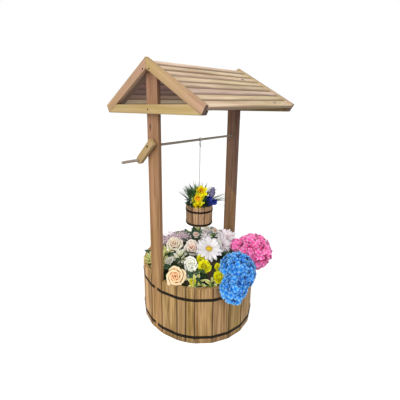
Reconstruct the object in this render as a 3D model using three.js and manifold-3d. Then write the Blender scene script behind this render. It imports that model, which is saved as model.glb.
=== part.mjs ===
// Wishing well planter: a ring of upright boards bound by two pairs of half hoops, two posts that
// carry a slatted gable roof, and a cranked windlass that winds a small hanging bucket up and down.
// Millimetres. X runs along the ridge and the windlass, with the crank at -X, Z points up, and the
// origin is the middle of the tub's underside, on the ground.

import * as THREE from "three";
import { mergeVertices } from "three/addons/utils/BufferGeometryUtils.js";
import Module from "manifold-3d";

const wasm = await Module();
wasm.setup();

// Fits
const clearance = 0.3; // between pieces that rest on each other
const runningGap = 0.5; // round the turning rod
const overrun = 4; // how far a cutting solid runs past the face that it cuts

// Tub
const tubRadius = 256; // to the corners between the outer faces of the boards
const tubHeight = 254;
const boardThickness = 16;
const boardSeam = 0.8; // between neighbouring boards
const boardEase = 2.4; // chamfer on a board's outer edges
const boardsPerSide = 10;
const splitBoard = 1; // the place on the front side that holds two narrow boards
const floorThickness = 16;
const compostDrop = 26; // from the rim down to the compost

// Half hoops of steel band
const hoopWidth = 12;
const hoopThickness = 1.6;
const hoopEndGap = 16; // between the ends of a pair, on the post
const upperHoopHeight = 205; // to the middle of the band
const lowerHoopHeight = 31;

// Posts
const postWidth = 64;
const postThickness = 16;
const postEase = 2.4;

// Roof
const ridgeHeight = 1120;
const roofPitch = THREE.MathUtils.degToRad(30.4);
const bargeLength = 323; // along the outer edge of a sloping gable board
const bargeDepth = 34;
const gableThickness = 14;
const gableStandoff = 10; // from a post's outer face to the back of the sloping gable boards
const ledgeWidth = 18; // of the ledge beside a post, which carries the slats
const ledgeSetback = 26; // of the ledge's foot from the foot of its gable board
const tieDepth = 33;
const slatsPerSlope = 8;
const slatThickness = 14;
const slatDrop = 5; // from the outer edge of a sloping gable board down to the slats
const slatGap = 2.5;
const slatRound = 6; // radius on the weather edges of a slat
const slatEase = 1.2; // chamfer on the lower edges of a slat
const ridgeGap = 1; // between the lower corners of the top slats

// Windlass
const rodDrop = 310; // from the ridge down to the rod's axis
const rodDiameter = 10;
const rodEndInset = 1; // from the far post's outer face
const armGap = 6; // between the near post and the crank arm
const armThickness = 16;
const armWidth = 31;
const armTop = 26; // from the rod's axis to the square end of the arm
const armReach = 87; // from the rod's axis to the handle's axis
const armEnd = 15.5; // from the handle's axis to the round end of the arm
const armAngle = THREE.MathUtils.degToRad(46); // from straight down, towards +Y
const socketDepth = 10; // of the rod and of the handle in the arm
const handleDiameter = 11;
const handleLength = 76; // outside the arm

// Rope and bucket
const ropePlace = 8; // along the rod, from the middle of the object
const ropeDiameter = 4;
const bucketHang = 263; // from the tub's rim up to the bucket's rim
const bucketRimRadius = 61.5;
const bucketFootRadius = 60;
const bucketHeight = 91;
const bucketWall = 8;
const bucketFloor = 9;
const bucketBoards = 14;
const bucketGroove = 1.2; // depth of the grooves between the bucket's boards
const bucketGrooveWidth = 1.8; // at the rim
const bucketHoopWidth = 8;
const bucketHoopThickness = 1;
const bucketHoopInset = 23; // from the rim down to the middle of the upper band
const bucketHoopFoot = 7.5; // from the underside up to the middle of the lower band
const bailRise = 70; // from the rim up to the middle of the bail's cord
const bailSocket = 6; // of the bail's ends in the rim
const bailStraight = 9; // of the bail's ends above the rim
const bucketPlantRadius = 66;
const bucketPlantHeight = 70; // above the rim
const bucketPlantSink = 12; // from the rim up to the middle of the plants

// Planting in the tub
const plantInset = 9; // from the inside of the boards to the foliage
const moundHeight = 72; // of the foliage above the rim
const clumpReachShare = 0.75; // of a bloom's place, for the leaves that carry it
const clumpRiseShare = 0.5; // of a bloom's height
const clumpSizeShare = 0.95; // of a bloom's radius

// Facets
const roundSteps = 32;
const wideSteps = 80;
const ballSteps = 16;
const ballRings = 9;
const cordSides = 10;
const cordSteps = 26;
const cornerSteps = 4;

// Blooms and leaf clumps that stand out of the foliage, as shares of the tub's radius: along X,
// along Y, above the rim, radius.
const bloomShares = [
  [0.58, -0.79, 0.21, 0.32],
  [-0.02, -0.91, 0.125, 0.32],
  [-0.32, -1.05, -0.03, 0.21],
  [-0.85, 0.42, 0.18, 0.17],
  [-0.84, -0.3, 0.11, 0.165],
  [-0.49, -0.31, 0.18, 0.15],
  [-0.05, -0.4, 0.31, 0.19],
  [-0.36, 0.25, 0.27, 0.18],
  [0.56, -0.26, 0.33, 0.19],
  [0.05, 0.54, 0.26, 0.17],
];

// Values that several pieces share
const postAngle = Math.asin(postWidth / 2 / tubRadius);
const postFace = tubRadius * Math.cos(postAngle);
const firstSeam = Math.asin((postWidth / 2 + boardSeam) / (tubRadius - boardThickness));
const boardAngle = (Math.PI - 2 * firstSeam) / boardsPerSide;
const tubBore = tubRadius * Math.cos(boardAngle / 2) - boardThickness - clearance;
const gableFace = postFace + gableStandoff;
const slatUnderside = slatDrop + slatThickness;
const slatReach = gableFace - clearance; // from the middle of the roof to a slat's end
const rodHeight = ridgeHeight - rodDrop;
const rodRadius = rodDiameter / 2;
const ropeRadius = ropeDiameter / 2;
const handleRadius = handleDiameter / 2;
const armFace = postFace + armGap;
const bucketRim = tubHeight + bucketHang;
const bucketFoot = bucketRim - bucketHeight;
const bailTop = bucketRim + bailRise + ropeRadius;

const materials = {
  board: wood(0xa9784c, 0.78),
  post: wood(0xab7d5c, 0.74),
  gable: wood(0xd3b07c, 0.66),
  slat: wood(0xc8ab80, 0.72),
  floor: wood(0x8c6642, 0.85),
  arm: wood(0xcaa568, 0.68),
  dowel: wood(0x8f8470, 0.62),
  bucket: wood(0xb58d62, 0.74),
  band: new THREE.MeshStandardMaterial({ color: 0x1c1b1b, roughness: 0.5, metalness: 0.85 }),
  rope: new THREE.MeshStandardMaterial({ color: 0xdedcd6, roughness: 0.95, metalness: 0 }),
  foliage: new THREE.MeshStandardMaterial({ color: 0x4f6f37, roughness: 0.85, metalness: 0 }),
};

function wood(color, roughness) {
  return new THREE.MeshStandardMaterial({ color, roughness, metalness: 0 });
}

// A closed geometry as a solid that can be joined and cut.
function solidOf(geometry) {
  const bare = geometry.clone();
  bare.deleteAttribute("normal");
  bare.deleteAttribute("uv");
  const merged = mergeVertices(bare);
  return new wasm.Manifold(
    new wasm.Mesh({
      numProp: 3,
      vertProperties: new Float32Array(merged.attributes.position.array),
      triVerts: new Uint32Array(merged.index.array),
    }),
  );
}

// A joined or cut solid as a geometry.
function geometryOf(solid) {
  const mesh = solid.getMesh();
  const geometry = new THREE.BufferGeometry();
  geometry.setAttribute("position", new THREE.BufferAttribute(mesh.vertProperties, 3));
  geometry.setIndex(new THREE.BufferAttribute(mesh.triVerts, 1));
  geometry.computeVertexNormals();
  return geometry;
}

function piece(name, geometry, material) {
  const mesh = new THREE.Mesh(geometry, material);
  mesh.name = name;
  return mesh;
}

// A plan outline of [x, y] points, raised from one height to another.
function uprightPrism(points, bottom, top) {
  const shape = new THREE.Shape(points.map(([x, y]) => new THREE.Vector2(x, y)));
  const geometry = new THREE.ExtrudeGeometry(shape, { depth: top - bottom, bevelEnabled: false });
  return geometry.translate(0, 0, bottom);
}

// An end elevation of [y, z] points, drawn out along X from one place to another.
function crosswisePrism(points, from, to) {
  const shape = new THREE.Shape(points.map(([y, z]) => new THREE.Vector2(y, z)));
  const geometry = new THREE.ExtrudeGeometry(shape, { depth: to - from, bevelEnabled: false });
  const turn = new THREE.Matrix4().makeBasis(
    new THREE.Vector3(0, 1, 0),
    new THREE.Vector3(0, 0, 1),
    new THREE.Vector3(1, 0, 0),
  );
  return geometry.applyMatrix4(turn).translate(from, 0, 0);
}

// A round bar along X, through y and z.
function crosswiseBar(radius, from, to, y, z) {
  const geometry = new THREE.CylinderGeometry(radius, radius, to - from, roundSteps);
  return geometry.rotateZ(-Math.PI / 2).translate((from + to) / 2, y, z);
}

// An upright round bar with its foot at z.
function uprightBar(radius, bottom, top, x, y, steps) {
  const geometry = new THREE.CylinderGeometry(radius, radius, top - bottom, steps);
  return geometry.rotateX(Math.PI / 2).translate(x, y, (bottom + top) / 2);
}

// Radius whose faceted circle keeps at least this gap to a circle inside it.
function boreRadius(radius, gap) {
  return (radius + gap) / Math.cos(Math.PI / roundSteps);
}

// The ring of boards, as seen from above

// The places round one side of the tub, each an angle from the near post and a half width.
function boardPlaces(side) {
  const places = [];
  for (let i = 0; i < boardsPerSide; i++) {
    const start = firstSeam + i * boardAngle;
    if (side === "front" && i === splitBoard) {
      places.push({ label: `${i + 1}a`, middle: start + boardAngle / 4, half: boardAngle / 4 });
      places.push({ label: `${i + 1}b`, middle: start + (3 * boardAngle) / 4, half: boardAngle / 4 });
    } else {
      places.push({ label: `${i + 1}`, middle: start + boardAngle / 2, half: boardAngle / 2 });
    }
  }
  return places;
}

// A point at a distance along the outward normal of a place and at an offset along its face. The
// angle is measured from the near post, towards the camera side on the front.
function ringPoint(side, angle, distance, offset) {
  const towardsFront = side === "front" ? -1 : 1;
  const x = -distance * Math.cos(angle) + offset * Math.sin(angle);
  const y = towardsFront * (distance * Math.sin(angle) + offset * Math.cos(angle));
  return [x, y];
}

function tubBoard(side, place) {
  const face = tubRadius * Math.cos(place.half);
  const halfWidth = (distance) =>
    distance * Math.tan(place.half) - boardSeam / 2 / Math.cos(place.half);
  const at = (distance, offset) => ringPoint(side, place.middle, distance, offset);
  const outline = [
    at(face, halfWidth(face) - boardEase),
    at(face - boardEase, halfWidth(face - boardEase)),
    at(face - boardThickness, halfWidth(face - boardThickness)),
    at(face - boardThickness, -halfWidth(face - boardThickness)),
    at(face - boardEase, -halfWidth(face - boardEase)),
    at(face, boardEase - halfWidth(face)),
  ];
  return piece(`stave_${side}_${place.label}`, uprightPrism(outline, 0, tubHeight), materials.board);
}

// Where two neighbouring faces meet when both are pushed out by the same offset.
function cornerBetween(side, first, second, offset) {
  const a = first.face + offset;
  const b = second.face + offset;
  const turn = second.middle - first.middle;
  const along = (b - a * Math.cos(turn)) / Math.sin(turn);
  return ringPoint(side, first.middle, a, along);
}

// A half hoop lies on every board of its side and on half of each post.
function halfHoop(side, level, height) {
  const faces = boardPlaces(side).map((place) => ({
    middle: place.middle,
    face: tubRadius * Math.cos(place.half),
  }));
  faces.unshift({ middle: 0, face: postFace });
  faces.push({ middle: Math.PI, face: postFace });
  const line = (offset) => {
    const points = [ringPoint(side, 0, postFace + offset, hoopEndGap / 2)];
    for (let i = 1; i < faces.length; i++) {
      points.push(cornerBetween(side, faces[i - 1], faces[i], offset));
    }
    points.push(ringPoint(side, Math.PI, postFace + offset, -hoopEndGap / 2));
    return points;
  };
  const outline = [...line(clearance), ...line(clearance + hoopThickness).reverse()];
  const band = uprightPrism(outline, height - hoopWidth / 2, height + hoopWidth / 2);
  return piece(`hoop_${level}_${side}`, band, materials.band);
}

function tubFloor() {
  const disc = uprightBar(tubBore, 0, floorThickness, 0, 0, wideSteps);
  return piece("tub_floor", disc, materials.floor);
}

function ball(radius, x, y, z) {
  return new THREE.SphereGeometry(radius, ballSteps, ballRings).rotateX(Math.PI / 2).translate(x, y, z);
}

// Compost, foliage and blooms as one mass, clear of the boards, the hoops and the posts.
function tubPlanting() {
  const compostLevel = tubHeight - compostDrop;
  const compost = uprightBar(tubBore, floorThickness + clearance, compostLevel, 0, 0, wideSteps);
  const moundRadius = tubBore - plantInset;
  const mound = new THREE.SphereGeometry(1, wideSteps / 2, ballSteps)
    .rotateX(Math.PI / 2)
    .scale(moundRadius, moundRadius, moundHeight + compostDrop)
    .translate(0, 0, compostLevel);
  let mass = solidOf(compost).add(solidOf(mound));
  for (const bloomShare of bloomShares) {
    const [x, y, rise, radius] = bloomShare.map((share) => share * tubRadius);
    const clump = ball(
      radius * clumpSizeShare,
      x * clumpReachShare,
      y * clumpReachShare,
      tubHeight + rise * clumpRiseShare,
    );
    mass = mass.add(solidOf(ball(radius, x, y, tubHeight + rise))).add(solidOf(clump));
  }
  const wallOuter = tubRadius + hoopThickness + 2 * clearance;
  const wall = solidOf(uprightBar(wallOuter, -overrun, tubHeight + clearance, 0, 0, wideSteps)).subtract(
    solidOf(uprightBar(tubBore, -2 * overrun, tubHeight + overrun, 0, 0, wideSteps)),
  );
  mass = mass.subtract(wall);
  for (const end of [-1, 1]) {
    const room = new THREE.BoxGeometry(
      postThickness + 2 * clearance,
      postWidth + 2 * clearance,
      ridgeHeight,
    ).translate(end * (postFace - postThickness / 2), 0, ridgeHeight / 2);
    mass = mass.subtract(solidOf(room));
  }
  return piece("tub_planting", geometryOf(mass), materials.foliage);
}

// The roof, drawn in distances down the slope and in depths below its outer edge

function roofPoint(side, down, depth) {
  const outward = side === "front" ? -1 : 1;
  const y = down * Math.cos(roofPitch) - depth * Math.sin(roofPitch);
  const z = ridgeHeight - down * Math.sin(roofPitch) - depth * Math.cos(roofPitch);
  return [outward * y, z];
}

// The distance down the slope at which a depth reaches this far out from the middle.
function downAt(out, depth) {
  return (out + depth * Math.sin(roofPitch)) / Math.cos(roofPitch);
}

// How far out from the middle a depth lies at this height.
function outAt(height, depth) {
  const down = (ridgeHeight - height - depth * Math.cos(roofPitch)) / Math.sin(roofPitch);
  return down * Math.cos(roofPitch) - depth * Math.sin(roofPitch);
}

const gableFoot = roofPoint("back", bargeLength, bargeDepth)[1];

// A post stands on the ground as one of the tub's boards and ends in a point under the slats.
function post(name, end) {
  const depth = slatUnderside + clearance;
  const half = postWidth / 2;
  const elevation = [
    [-half, 0],
    [half, 0],
    roofPoint("back", downAt(half, depth), depth),
    roofPoint("back", downAt(0, depth), depth),
    roofPoint("front", downAt(half, depth), depth),
  ];
  const outer = end * postFace;
  const inner = end * (postFace - postThickness);
  const from = Math.min(outer, inner);
  const to = Math.max(outer, inner);
  const plan = [
    [from + postEase, -half],
    [to - postEase, -half],
    [to, postEase - half],
    [to, half - postEase],
    [to - postEase, half],
    [from + postEase, half],
    [from, half - postEase],
    [from, postEase - half],
  ];
  const bore = crosswiseBar(
    boreRadius(rodRadius, runningGap),
    from - overrun,
    to + overrun,
    0,
    rodHeight,
  );
  const solid = solidOf(crosswisePrism(elevation, from, to))
    .intersect(solidOf(uprightPrism(plan, 0, ridgeHeight)))
    .subtract(solidOf(bore));
  return piece(name, geometryOf(solid), materials.post);
}

// A sloping gable board. The packing behind it runs down to its foot, and beside the post a ledge
// reaches further in. Both carry the slats.
function bargeBoard(gable, side, end) {
  const elevation = (inset, foot, top) => [
    roofPoint(side, downAt(inset, top), top),
    roofPoint(side, foot, top),
    roofPoint(side, foot, bargeDepth),
    roofPoint(side, downAt(inset, bargeDepth), bargeDepth),
  ];
  const layer = (outline, inner, outer) => {
    const spans = [inner, outer].map((x) => end * x).sort((a, b) => a - b);
    return solidOf(crosswisePrism(outline, ...spans));
  };
  const seat = slatUnderside + clearance;
  const mitre = clearance / 2;
  const middle = gableFace + gableThickness / 2;
  const board = layer(elevation(mitre, bargeLength, 0), gableFace, gableFace + gableThickness);
  const packing = layer(elevation(mitre, bargeLength, seat), postFace + clearance, middle);
  const ledge = layer(
    elevation(postWidth / 2 + clearance, bargeLength - ledgeSetback, seat),
    postFace - ledgeWidth,
    middle,
  );
  const solid = board.add(packing).add(ledge);
  return piece(`barge_${gable}_${side}`, geometryOf(solid), materials.gable);
}

// The level board of a gable fills the foot of the triangle between the sloping boards and lies
// against the post.
function tieBoard(gable, end) {
  const depth = bargeDepth + clearance;
  const top = gableFoot + tieDepth;
  const low = outAt(gableFoot, depth);
  const high = outAt(top, depth);
  const outline = [
    [-low, gableFoot],
    [low, gableFoot],
    [high, top],
    [-high, top],
  ];
  const spans = [postFace + clearance, gableFace + gableThickness]
    .map((x) => end * x)
    .sort((a, b) => a - b);
  return piece(`tie_${gable}`, crosswisePrism(outline, ...spans), materials.gable);
}

// A quarter round between two edges of a slat, from one edge's direction to the other's.
function roundedCorner(side, down, depth, radius, from) {
  const points = [];
  for (let i = 0; i <= cornerSteps; i++) {
    const angle = from + (i / cornerSteps) * (Math.PI / 2);
    points.push(roofPoint(side, down + radius * Math.cos(angle), depth - radius * Math.sin(angle)));
  }
  return points;
}

// The slats lie side by side down the slope. The top ones meet at their lower corners.
function roofSlat(side, index) {
  const start = downAt(ridgeGap / 2, slatUnderside);
  const pitch = (bargeLength - start + slatGap) / slatsPerSlope;
  const upper = start + index * pitch;
  const lower = upper + pitch - slatGap;
  const outline = roundedCorner(side, lower - slatRound, slatDrop + slatRound, slatRound, 0);
  const middle = upper + slatRound;
  outline.push(...roundedCorner(side, middle, slatDrop + slatRound, slatRound, Math.PI / 2));
  outline.push(roofPoint(side, upper, slatUnderside - slatEase));
  outline.push(roofPoint(side, upper + slatEase, slatUnderside));
  outline.push(roofPoint(side, lower - slatEase, slatUnderside));
  outline.push(roofPoint(side, lower, slatUnderside - slatEase));
  const slat = crosswisePrism(outline, -slatReach, slatReach);
  return piece(`slat_${side}_${index + 1}`, slat, materials.slat);
}

// The windlass, drawn round the rod's axis

function windlassRod() {
  const near = -(armFace + socketDepth - clearance);
  const far = postFace - rodEndInset;
  return piece("windlass_rod", crosswiseBar(rodRadius, near, far, 0, 0), materials.dowel);
}

function handleSeat() {
  return [armReach * Math.sin(armAngle), -armReach * Math.cos(armAngle)];
}

// The crank arm is square at the rod and round at the handle, with a blind socket for each.
function crankArm() {
  const along = (reach, across) => [
    reach * Math.sin(armAngle) + across * Math.cos(armAngle),
    across * Math.sin(armAngle) - reach * Math.cos(armAngle),
  ];
  const half = armWidth / 2;
  const roundCentre = armReach + armEnd - half;
  const outline = [along(-armTop, half), along(-armTop, -half)];
  for (let i = 0; i <= 3 * cornerSteps; i++) {
    const angle = (i / (3 * cornerSteps)) * Math.PI;
    outline.push(along(roundCentre + half * Math.sin(angle), -half * Math.cos(angle)));
  }
  const outer = armFace + armThickness;
  const [handleY, handleZ] = handleSeat();
  const rodSocket = crosswiseBar(
    boreRadius(rodRadius, clearance),
    -(armFace + socketDepth),
    overrun - armFace,
    0,
    0,
  );
  const handleSocket = crosswiseBar(
    boreRadius(handleRadius, clearance),
    -(outer + overrun),
    socketDepth - outer,
    handleY,
    handleZ,
  );
  const solid = solidOf(crosswisePrism(outline, -outer, -armFace))
    .subtract(solidOf(rodSocket))
    .subtract(solidOf(handleSocket));
  return piece("crank_arm", geometryOf(solid), materials.arm);
}

function crankHandle() {
  const [y, z] = handleSeat();
  const outer = armFace + armThickness;
  const bar = crosswiseBar(handleRadius, -(outer + handleLength), socketDepth - clearance - outer, y, z);
  return piece("crank_handle", bar, materials.dowel);
}

// The hanging load, drawn round the rope's line with the heights of the whole object

function rope() {
  const cord = uprightBar(
    ropeRadius,
    bailTop + clearance,
    rodHeight - rodRadius - clearance,
    0,
    0,
    cordSides,
  );
  return piece("rope", cord, materials.rope);
}

// A cord's tube along a curve, with its ends cut square.
function cordAlong(curve, radius) {
  const section = new THREE.Shape();
  section.absarc(0, 0, radius, 0, 2 * Math.PI, false);
  return new THREE.ExtrudeGeometry(section, {
    steps: cordSteps,
    curveSegments: cordSides,
    extrudePath: curve,
  });
}

// The bail's ends stand in the bucket's rim and its middle rises to the rope.
function bailCurve(socket) {
  const out = bucketRimRadius - bucketWall / 2;
  const low = bucketRim - socket;
  const straight = bucketRim + bailStraight;
  const top = bucketRim + bailRise;
  const at = (x, z) => new THREE.Vector3(x, 0, z);
  const shoulder = (straight + top) / 2;
  const half = (end) =>
    new THREE.CubicBezierCurve3(
      at(end * out, straight),
      at(end * out, shoulder),
      at((end * out) / 3, top),
      at(0, top),
    );
  const farHalf = half(1);
  const curve = new THREE.CurvePath();
  curve.add(new THREE.LineCurve3(at(-out, low), at(-out, straight)));
  curve.add(half(-1));
  curve.add(new THREE.CubicBezierCurve3(farHalf.v3, farHalf.v2, farHalf.v1, farHalf.v0));
  curve.add(new THREE.LineCurve3(at(out, straight), at(out, low)));
  return curve;
}

function bucketBail() {
  const cord = cordAlong(bailCurve(bailSocket - clearance), ropeRadius);
  return piece("bucket_bail", cord, materials.rope);
}

// The bucket's outer radius at a height above its foot.
function bucketRadius(height) {
  return bucketFootRadius + ((bucketRimRadius - bucketFootRadius) * height) / bucketHeight;
}

// A round solid from [radius, height] points that start and end on the axis.
function turned(profile, steps) {
  const points = profile.map(([radius, height]) => new THREE.Vector2(radius, height));
  return new THREE.LatheGeometry(points, steps).rotateX(Math.PI / 2);
}

function bucketShell() {
  const outside = turned(
    [
      [0, bucketFoot],
      [bucketFootRadius, bucketFoot],
      [bucketRimRadius, bucketRim],
      [0, bucketRim],
    ],
    wideSteps,
  );
  const bore = turned(
    [
      [0, bucketFoot + bucketFloor],
      [bucketFootRadius - bucketWall, bucketFoot + bucketFloor],
      [bucketRimRadius - bucketWall, bucketRim],
      [bucketRimRadius - bucketWall, bucketRim + overrun],
      [0, bucketRim + overrun],
    ],
    wideSteps,
  );
  let shell = solidOf(outside).subtract(solidOf(bore));
  const grooveRoot = bucketFootRadius - bucketGroove;
  const grooveReach = bucketRimRadius + overrun - grooveRoot;
  const grooveHalf = ((bucketGrooveWidth / 2) * grooveReach) / (bucketRimRadius - grooveRoot);
  for (let i = 0; i < bucketBoards; i++) {
    const angle = ((i + 1 / 2) / bucketBoards) * 2 * Math.PI;
    const groove = uprightPrism(
      [
        [grooveRoot, 0],
        [grooveRoot + grooveReach, -grooveHalf],
        [grooveRoot + grooveReach, grooveHalf],
      ],
      bucketFoot - overrun,
      bucketRim + overrun,
    ).rotateZ(angle);
    shell = shell.subtract(solidOf(groove));
  }
  for (const end of [-1, 1]) {
    const x = end * (bucketRimRadius - bucketWall / 2);
    const hole = uprightBar(
      boreRadius(ropeRadius, clearance),
      bucketRim - bailSocket,
      bucketRim + overrun,
      x,
      0,
      roundSteps,
    );
    shell = shell.subtract(solidOf(hole));
  }
  return piece("bucket_shell", geometryOf(shell), materials.bucket);
}

function bucketHoop(level, height) {
  const half = bucketHoopWidth / 2;
  const inner = (z) => bucketRadius(z - bucketFoot) + clearance;
  const band = turned(
    [
      [inner(height - half), height - half],
      [inner(height - half) + bucketHoopThickness, height - half],
      [inner(height + half) + bucketHoopThickness, height + half],
      [inner(height + half), height + half],
      [inner(height - half), height - half],
    ],
    wideSteps,
  );
  return piece(`bucket_hoop_${level}`, band, materials.band);
}

// Soil and plants in the bucket as one mass with a way through for the bail.
function bucketPlanting() {
  const seat = bucketFoot + bucketFloor + clearance;
  const soil = turned(
    [
      [0, seat],
      [bucketFootRadius - bucketWall - clearance, seat],
      [bucketRimRadius - bucketWall - clearance, bucketRim],
      [bucketRimRadius - bucketWall - clearance, bucketRim + overrun],
      [0, bucketRim + overrun],
    ],
    roundSteps,
  );
  const dome = new THREE.SphereGeometry(1, roundSteps, ballSteps)
    .rotateX(Math.PI / 2)
    .scale(bucketPlantRadius, bucketPlantRadius, bucketPlantHeight - bucketPlantSink)
    .translate(0, 0, bucketRim + bucketPlantSink);
  const below = uprightBar(
    2 * bucketPlantRadius,
    bucketFoot - bucketHeight,
    bucketRim + clearance,
    0,
    0,
    roundSteps,
  );
  const way = cordAlong(bailCurve(-clearance), ropeRadius + 2 * clearance);
  const mass = solidOf(dome).subtract(solidOf(below)).add(solidOf(soil)).subtract(solidOf(way));
  return piece("bucket_planting", geometryOf(mass), materials.foliage);
}

// The whole object

const tub = new THREE.Group();
tub.add(tubFloor(), tubPlanting());
for (const side of ["front", "back"]) {
  for (const place of boardPlaces(side)) {
    tub.add(tubBoard(side, place));
  }
  tub.add(halfHoop(side, "upper", upperHoopHeight), halfHoop(side, "lower", lowerHoopHeight));
}

const frame = new THREE.Group();
frame.add(post("post_crank", -1), post("post_far", 1));

const roof = new THREE.Group();
for (const [gable, end] of [
  ["crank", -1],
  ["far", 1],
]) {
  roof.add(bargeBoard(gable, "front", end), bargeBoard(gable, "back", end), tieBoard(gable, end));
}
for (const side of ["front", "back"]) {
  for (let index = 0; index < slatsPerSlope; index++) {
    roof.add(roofSlat(side, index));
  }
}

const windlass = new THREE.Group();
windlass.add(windlassRod(), crankArm(), crankHandle());
windlass.position.set(0, 0, rodHeight);

const load = new THREE.Group();
load.add(rope(), bucketBail(), bucketShell(), bucketPlanting());
load.add(bucketHoop("upper", bucketRim - bucketHoopInset));
load.add(bucketHoop("lower", bucketFoot + bucketHoopFoot));
load.position.set(ropePlace, 0, 0);

const wishingWell = new THREE.Group();
wishingWell.add(tub, frame, roof, windlass, load);

export default wishingWell;
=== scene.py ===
import bpy
import numpy as np
from mathutils import Matrix, Vector


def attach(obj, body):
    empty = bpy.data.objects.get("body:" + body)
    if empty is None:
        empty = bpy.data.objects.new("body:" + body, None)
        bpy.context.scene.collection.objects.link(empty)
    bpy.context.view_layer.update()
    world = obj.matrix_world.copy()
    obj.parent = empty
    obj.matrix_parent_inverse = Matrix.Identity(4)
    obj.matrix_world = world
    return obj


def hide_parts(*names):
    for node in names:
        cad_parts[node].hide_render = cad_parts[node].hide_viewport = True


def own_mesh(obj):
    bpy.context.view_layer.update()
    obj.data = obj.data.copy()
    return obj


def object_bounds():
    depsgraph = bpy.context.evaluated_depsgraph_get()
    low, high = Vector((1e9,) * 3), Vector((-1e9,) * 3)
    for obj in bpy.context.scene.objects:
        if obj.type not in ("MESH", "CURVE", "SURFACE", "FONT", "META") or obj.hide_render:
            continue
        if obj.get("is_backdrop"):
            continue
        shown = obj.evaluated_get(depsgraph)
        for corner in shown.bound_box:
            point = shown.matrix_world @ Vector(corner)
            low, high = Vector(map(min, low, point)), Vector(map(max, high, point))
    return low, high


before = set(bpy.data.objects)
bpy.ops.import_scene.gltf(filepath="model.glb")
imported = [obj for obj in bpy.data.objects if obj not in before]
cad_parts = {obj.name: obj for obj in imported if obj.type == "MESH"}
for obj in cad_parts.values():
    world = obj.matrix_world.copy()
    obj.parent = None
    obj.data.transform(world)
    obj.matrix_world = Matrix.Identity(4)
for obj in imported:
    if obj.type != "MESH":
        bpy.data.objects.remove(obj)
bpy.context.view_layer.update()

# The camera looks a little down on the crank side of the well from about 1.3 metres away, with a
# short lens. The photograph was trimmed off centre, so the frame is shifted to the right and down.
camera_place = (-0.91155, -0.83274, 0.96156)
camera_yaw, camera_pitch, camera_roll = np.radians([47.15, 13.52, -0.32])
camera_lens = 25.655
camera_shift = (0.0612, -0.0693)

ahead = np.array([
    np.cos(camera_yaw) * np.cos(camera_pitch),
    np.sin(camera_yaw) * np.cos(camera_pitch),
    -np.sin(camera_pitch),
])
level = np.array([np.sin(camera_yaw), -np.cos(camera_yaw), 0.0])
steep = np.cross(level, ahead)
rightward = np.cos(camera_roll) * level + np.sin(camera_roll) * steep
upward = np.cos(camera_roll) * steep - np.sin(camera_roll) * level
camera = bpy.data.objects.new("camera", bpy.data.cameras.new("camera"))
bpy.context.scene.collection.objects.link(camera)
camera.data.sensor_width = 36
camera.data.lens = camera_lens
camera.data.shift_x, camera.data.shift_y = camera_shift
camera.data.clip_start = 0.02
camera.data.clip_end = 60
camera.matrix_world = Matrix([
    [rightward[i], upward[i], -ahead[i], camera_place[i]] for i in range(3)
] + [[0, 0, 0, 1]])
bpy.context.scene.camera = camera


# The rope is white cotton cord of three strands. It is tied round the windlass rod, knotted on
# itself just below it, and carries the bucket by its bail. It is one twisted tube from the rod down.
rope_place = 0.008
rope_radius = 0.002
rope_top = 0.8047
rope_foot = 0.5893
rope_lay = 0.011
rod_height = 0.810
rod_radius = 0.005


def unit(vectors):
    """Each vector over its own length."""
    return vectors / np.linalg.norm(vectors, axis=-1, keepdims=True)


def ring_faces(rings, around, closed=False):
    """Four-sided faces between each ring of points and the next, right round. The two end rings
    are filled with one face each, or joined to each other where the rings themselves close."""
    ring = np.arange(rings if closed else rings - 1)[:, None]
    spot = np.arange(around)[None, :]
    nearer, farther = ring * around, (ring + 1) % rings * around
    beside = (spot + 1) % around
    quads = np.stack([nearer + spot, nearer + beside, farther + beside, farther + spot], -1)
    quads = quads.reshape(-1, 4)
    if closed:
        return [quads]
    first = np.arange(around)[::-1][None, :]
    last = (rings - 1) * around + np.arange(around)[None, :]
    return [quads, np.concatenate([first, last])]


def join(shapes):
    """Several shapes, each its points, its faces and its layers, as one."""
    starts = np.cumsum([0] + [len(points) for points, _, _ in shapes])
    points = np.concatenate([points for points, _, _ in shapes])
    faces = [face + start for (_, group, _), start in zip(shapes, starts) for face in group]
    layers = {
        layer: np.concatenate([layers[layer] for _, _, layers in shapes])
        for layer in shapes[0][2]
    }
    return points, faces, layers


def make_piece(name, shape, material, body, replaced=(), sharp=40):
    """A shape as a mesh object in the frame's own place, smooth but for its sharp edges."""
    points, faces, layers = shape
    mesh = bpy.data.meshes.new(name)
    mesh.from_pydata(points.tolist(), [], [row for group in faces for row in group.tolist()])
    for layer, values in layers.items():
        kind, field = ("FLOAT_VECTOR", "vector") if values.ndim == 2 else ("FLOAT", "value")
        mesh.attributes.new(layer, kind, "POINT").data.foreach_set(field, values.ravel())
    mesh.shade_smooth()
    mesh.set_sharp_from_angle(angle=np.radians(sharp))
    mesh.materials.append(material)
    mesh.update()
    piece = bpy.data.objects.new(name, mesh)
    bpy.context.scene.collection.objects.link(piece)
    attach(piece, body)
    if replaced:
        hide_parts(*replaced)
    return piece


def on_circle(turn):
    """The points of a circle of radius one at the given turns."""
    return np.stack([np.cos(turn), np.sin(turn)], -1)


def carry(path, across, outline):
    """An outline carried along a path: at each point of the path it stands square to the path,
    its first axis the part of the given direction that is square to the path, its second axis
    the path's direction crossed with the first."""
    tangent = unit(np.gradient(path, axis=0))
    across = np.broadcast_to(np.asarray(across, float), path.shape)
    first = unit(across - tangent * np.sum(across * tangent, -1, keepdims=True))
    second = np.cross(tangent, first)
    outline = np.broadcast_to(outline, (len(path),) + outline.shape[-2:])
    return path[:, None] + outline[..., :1] * first[:, None] + outline[..., 1:] * second[:, None]


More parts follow.
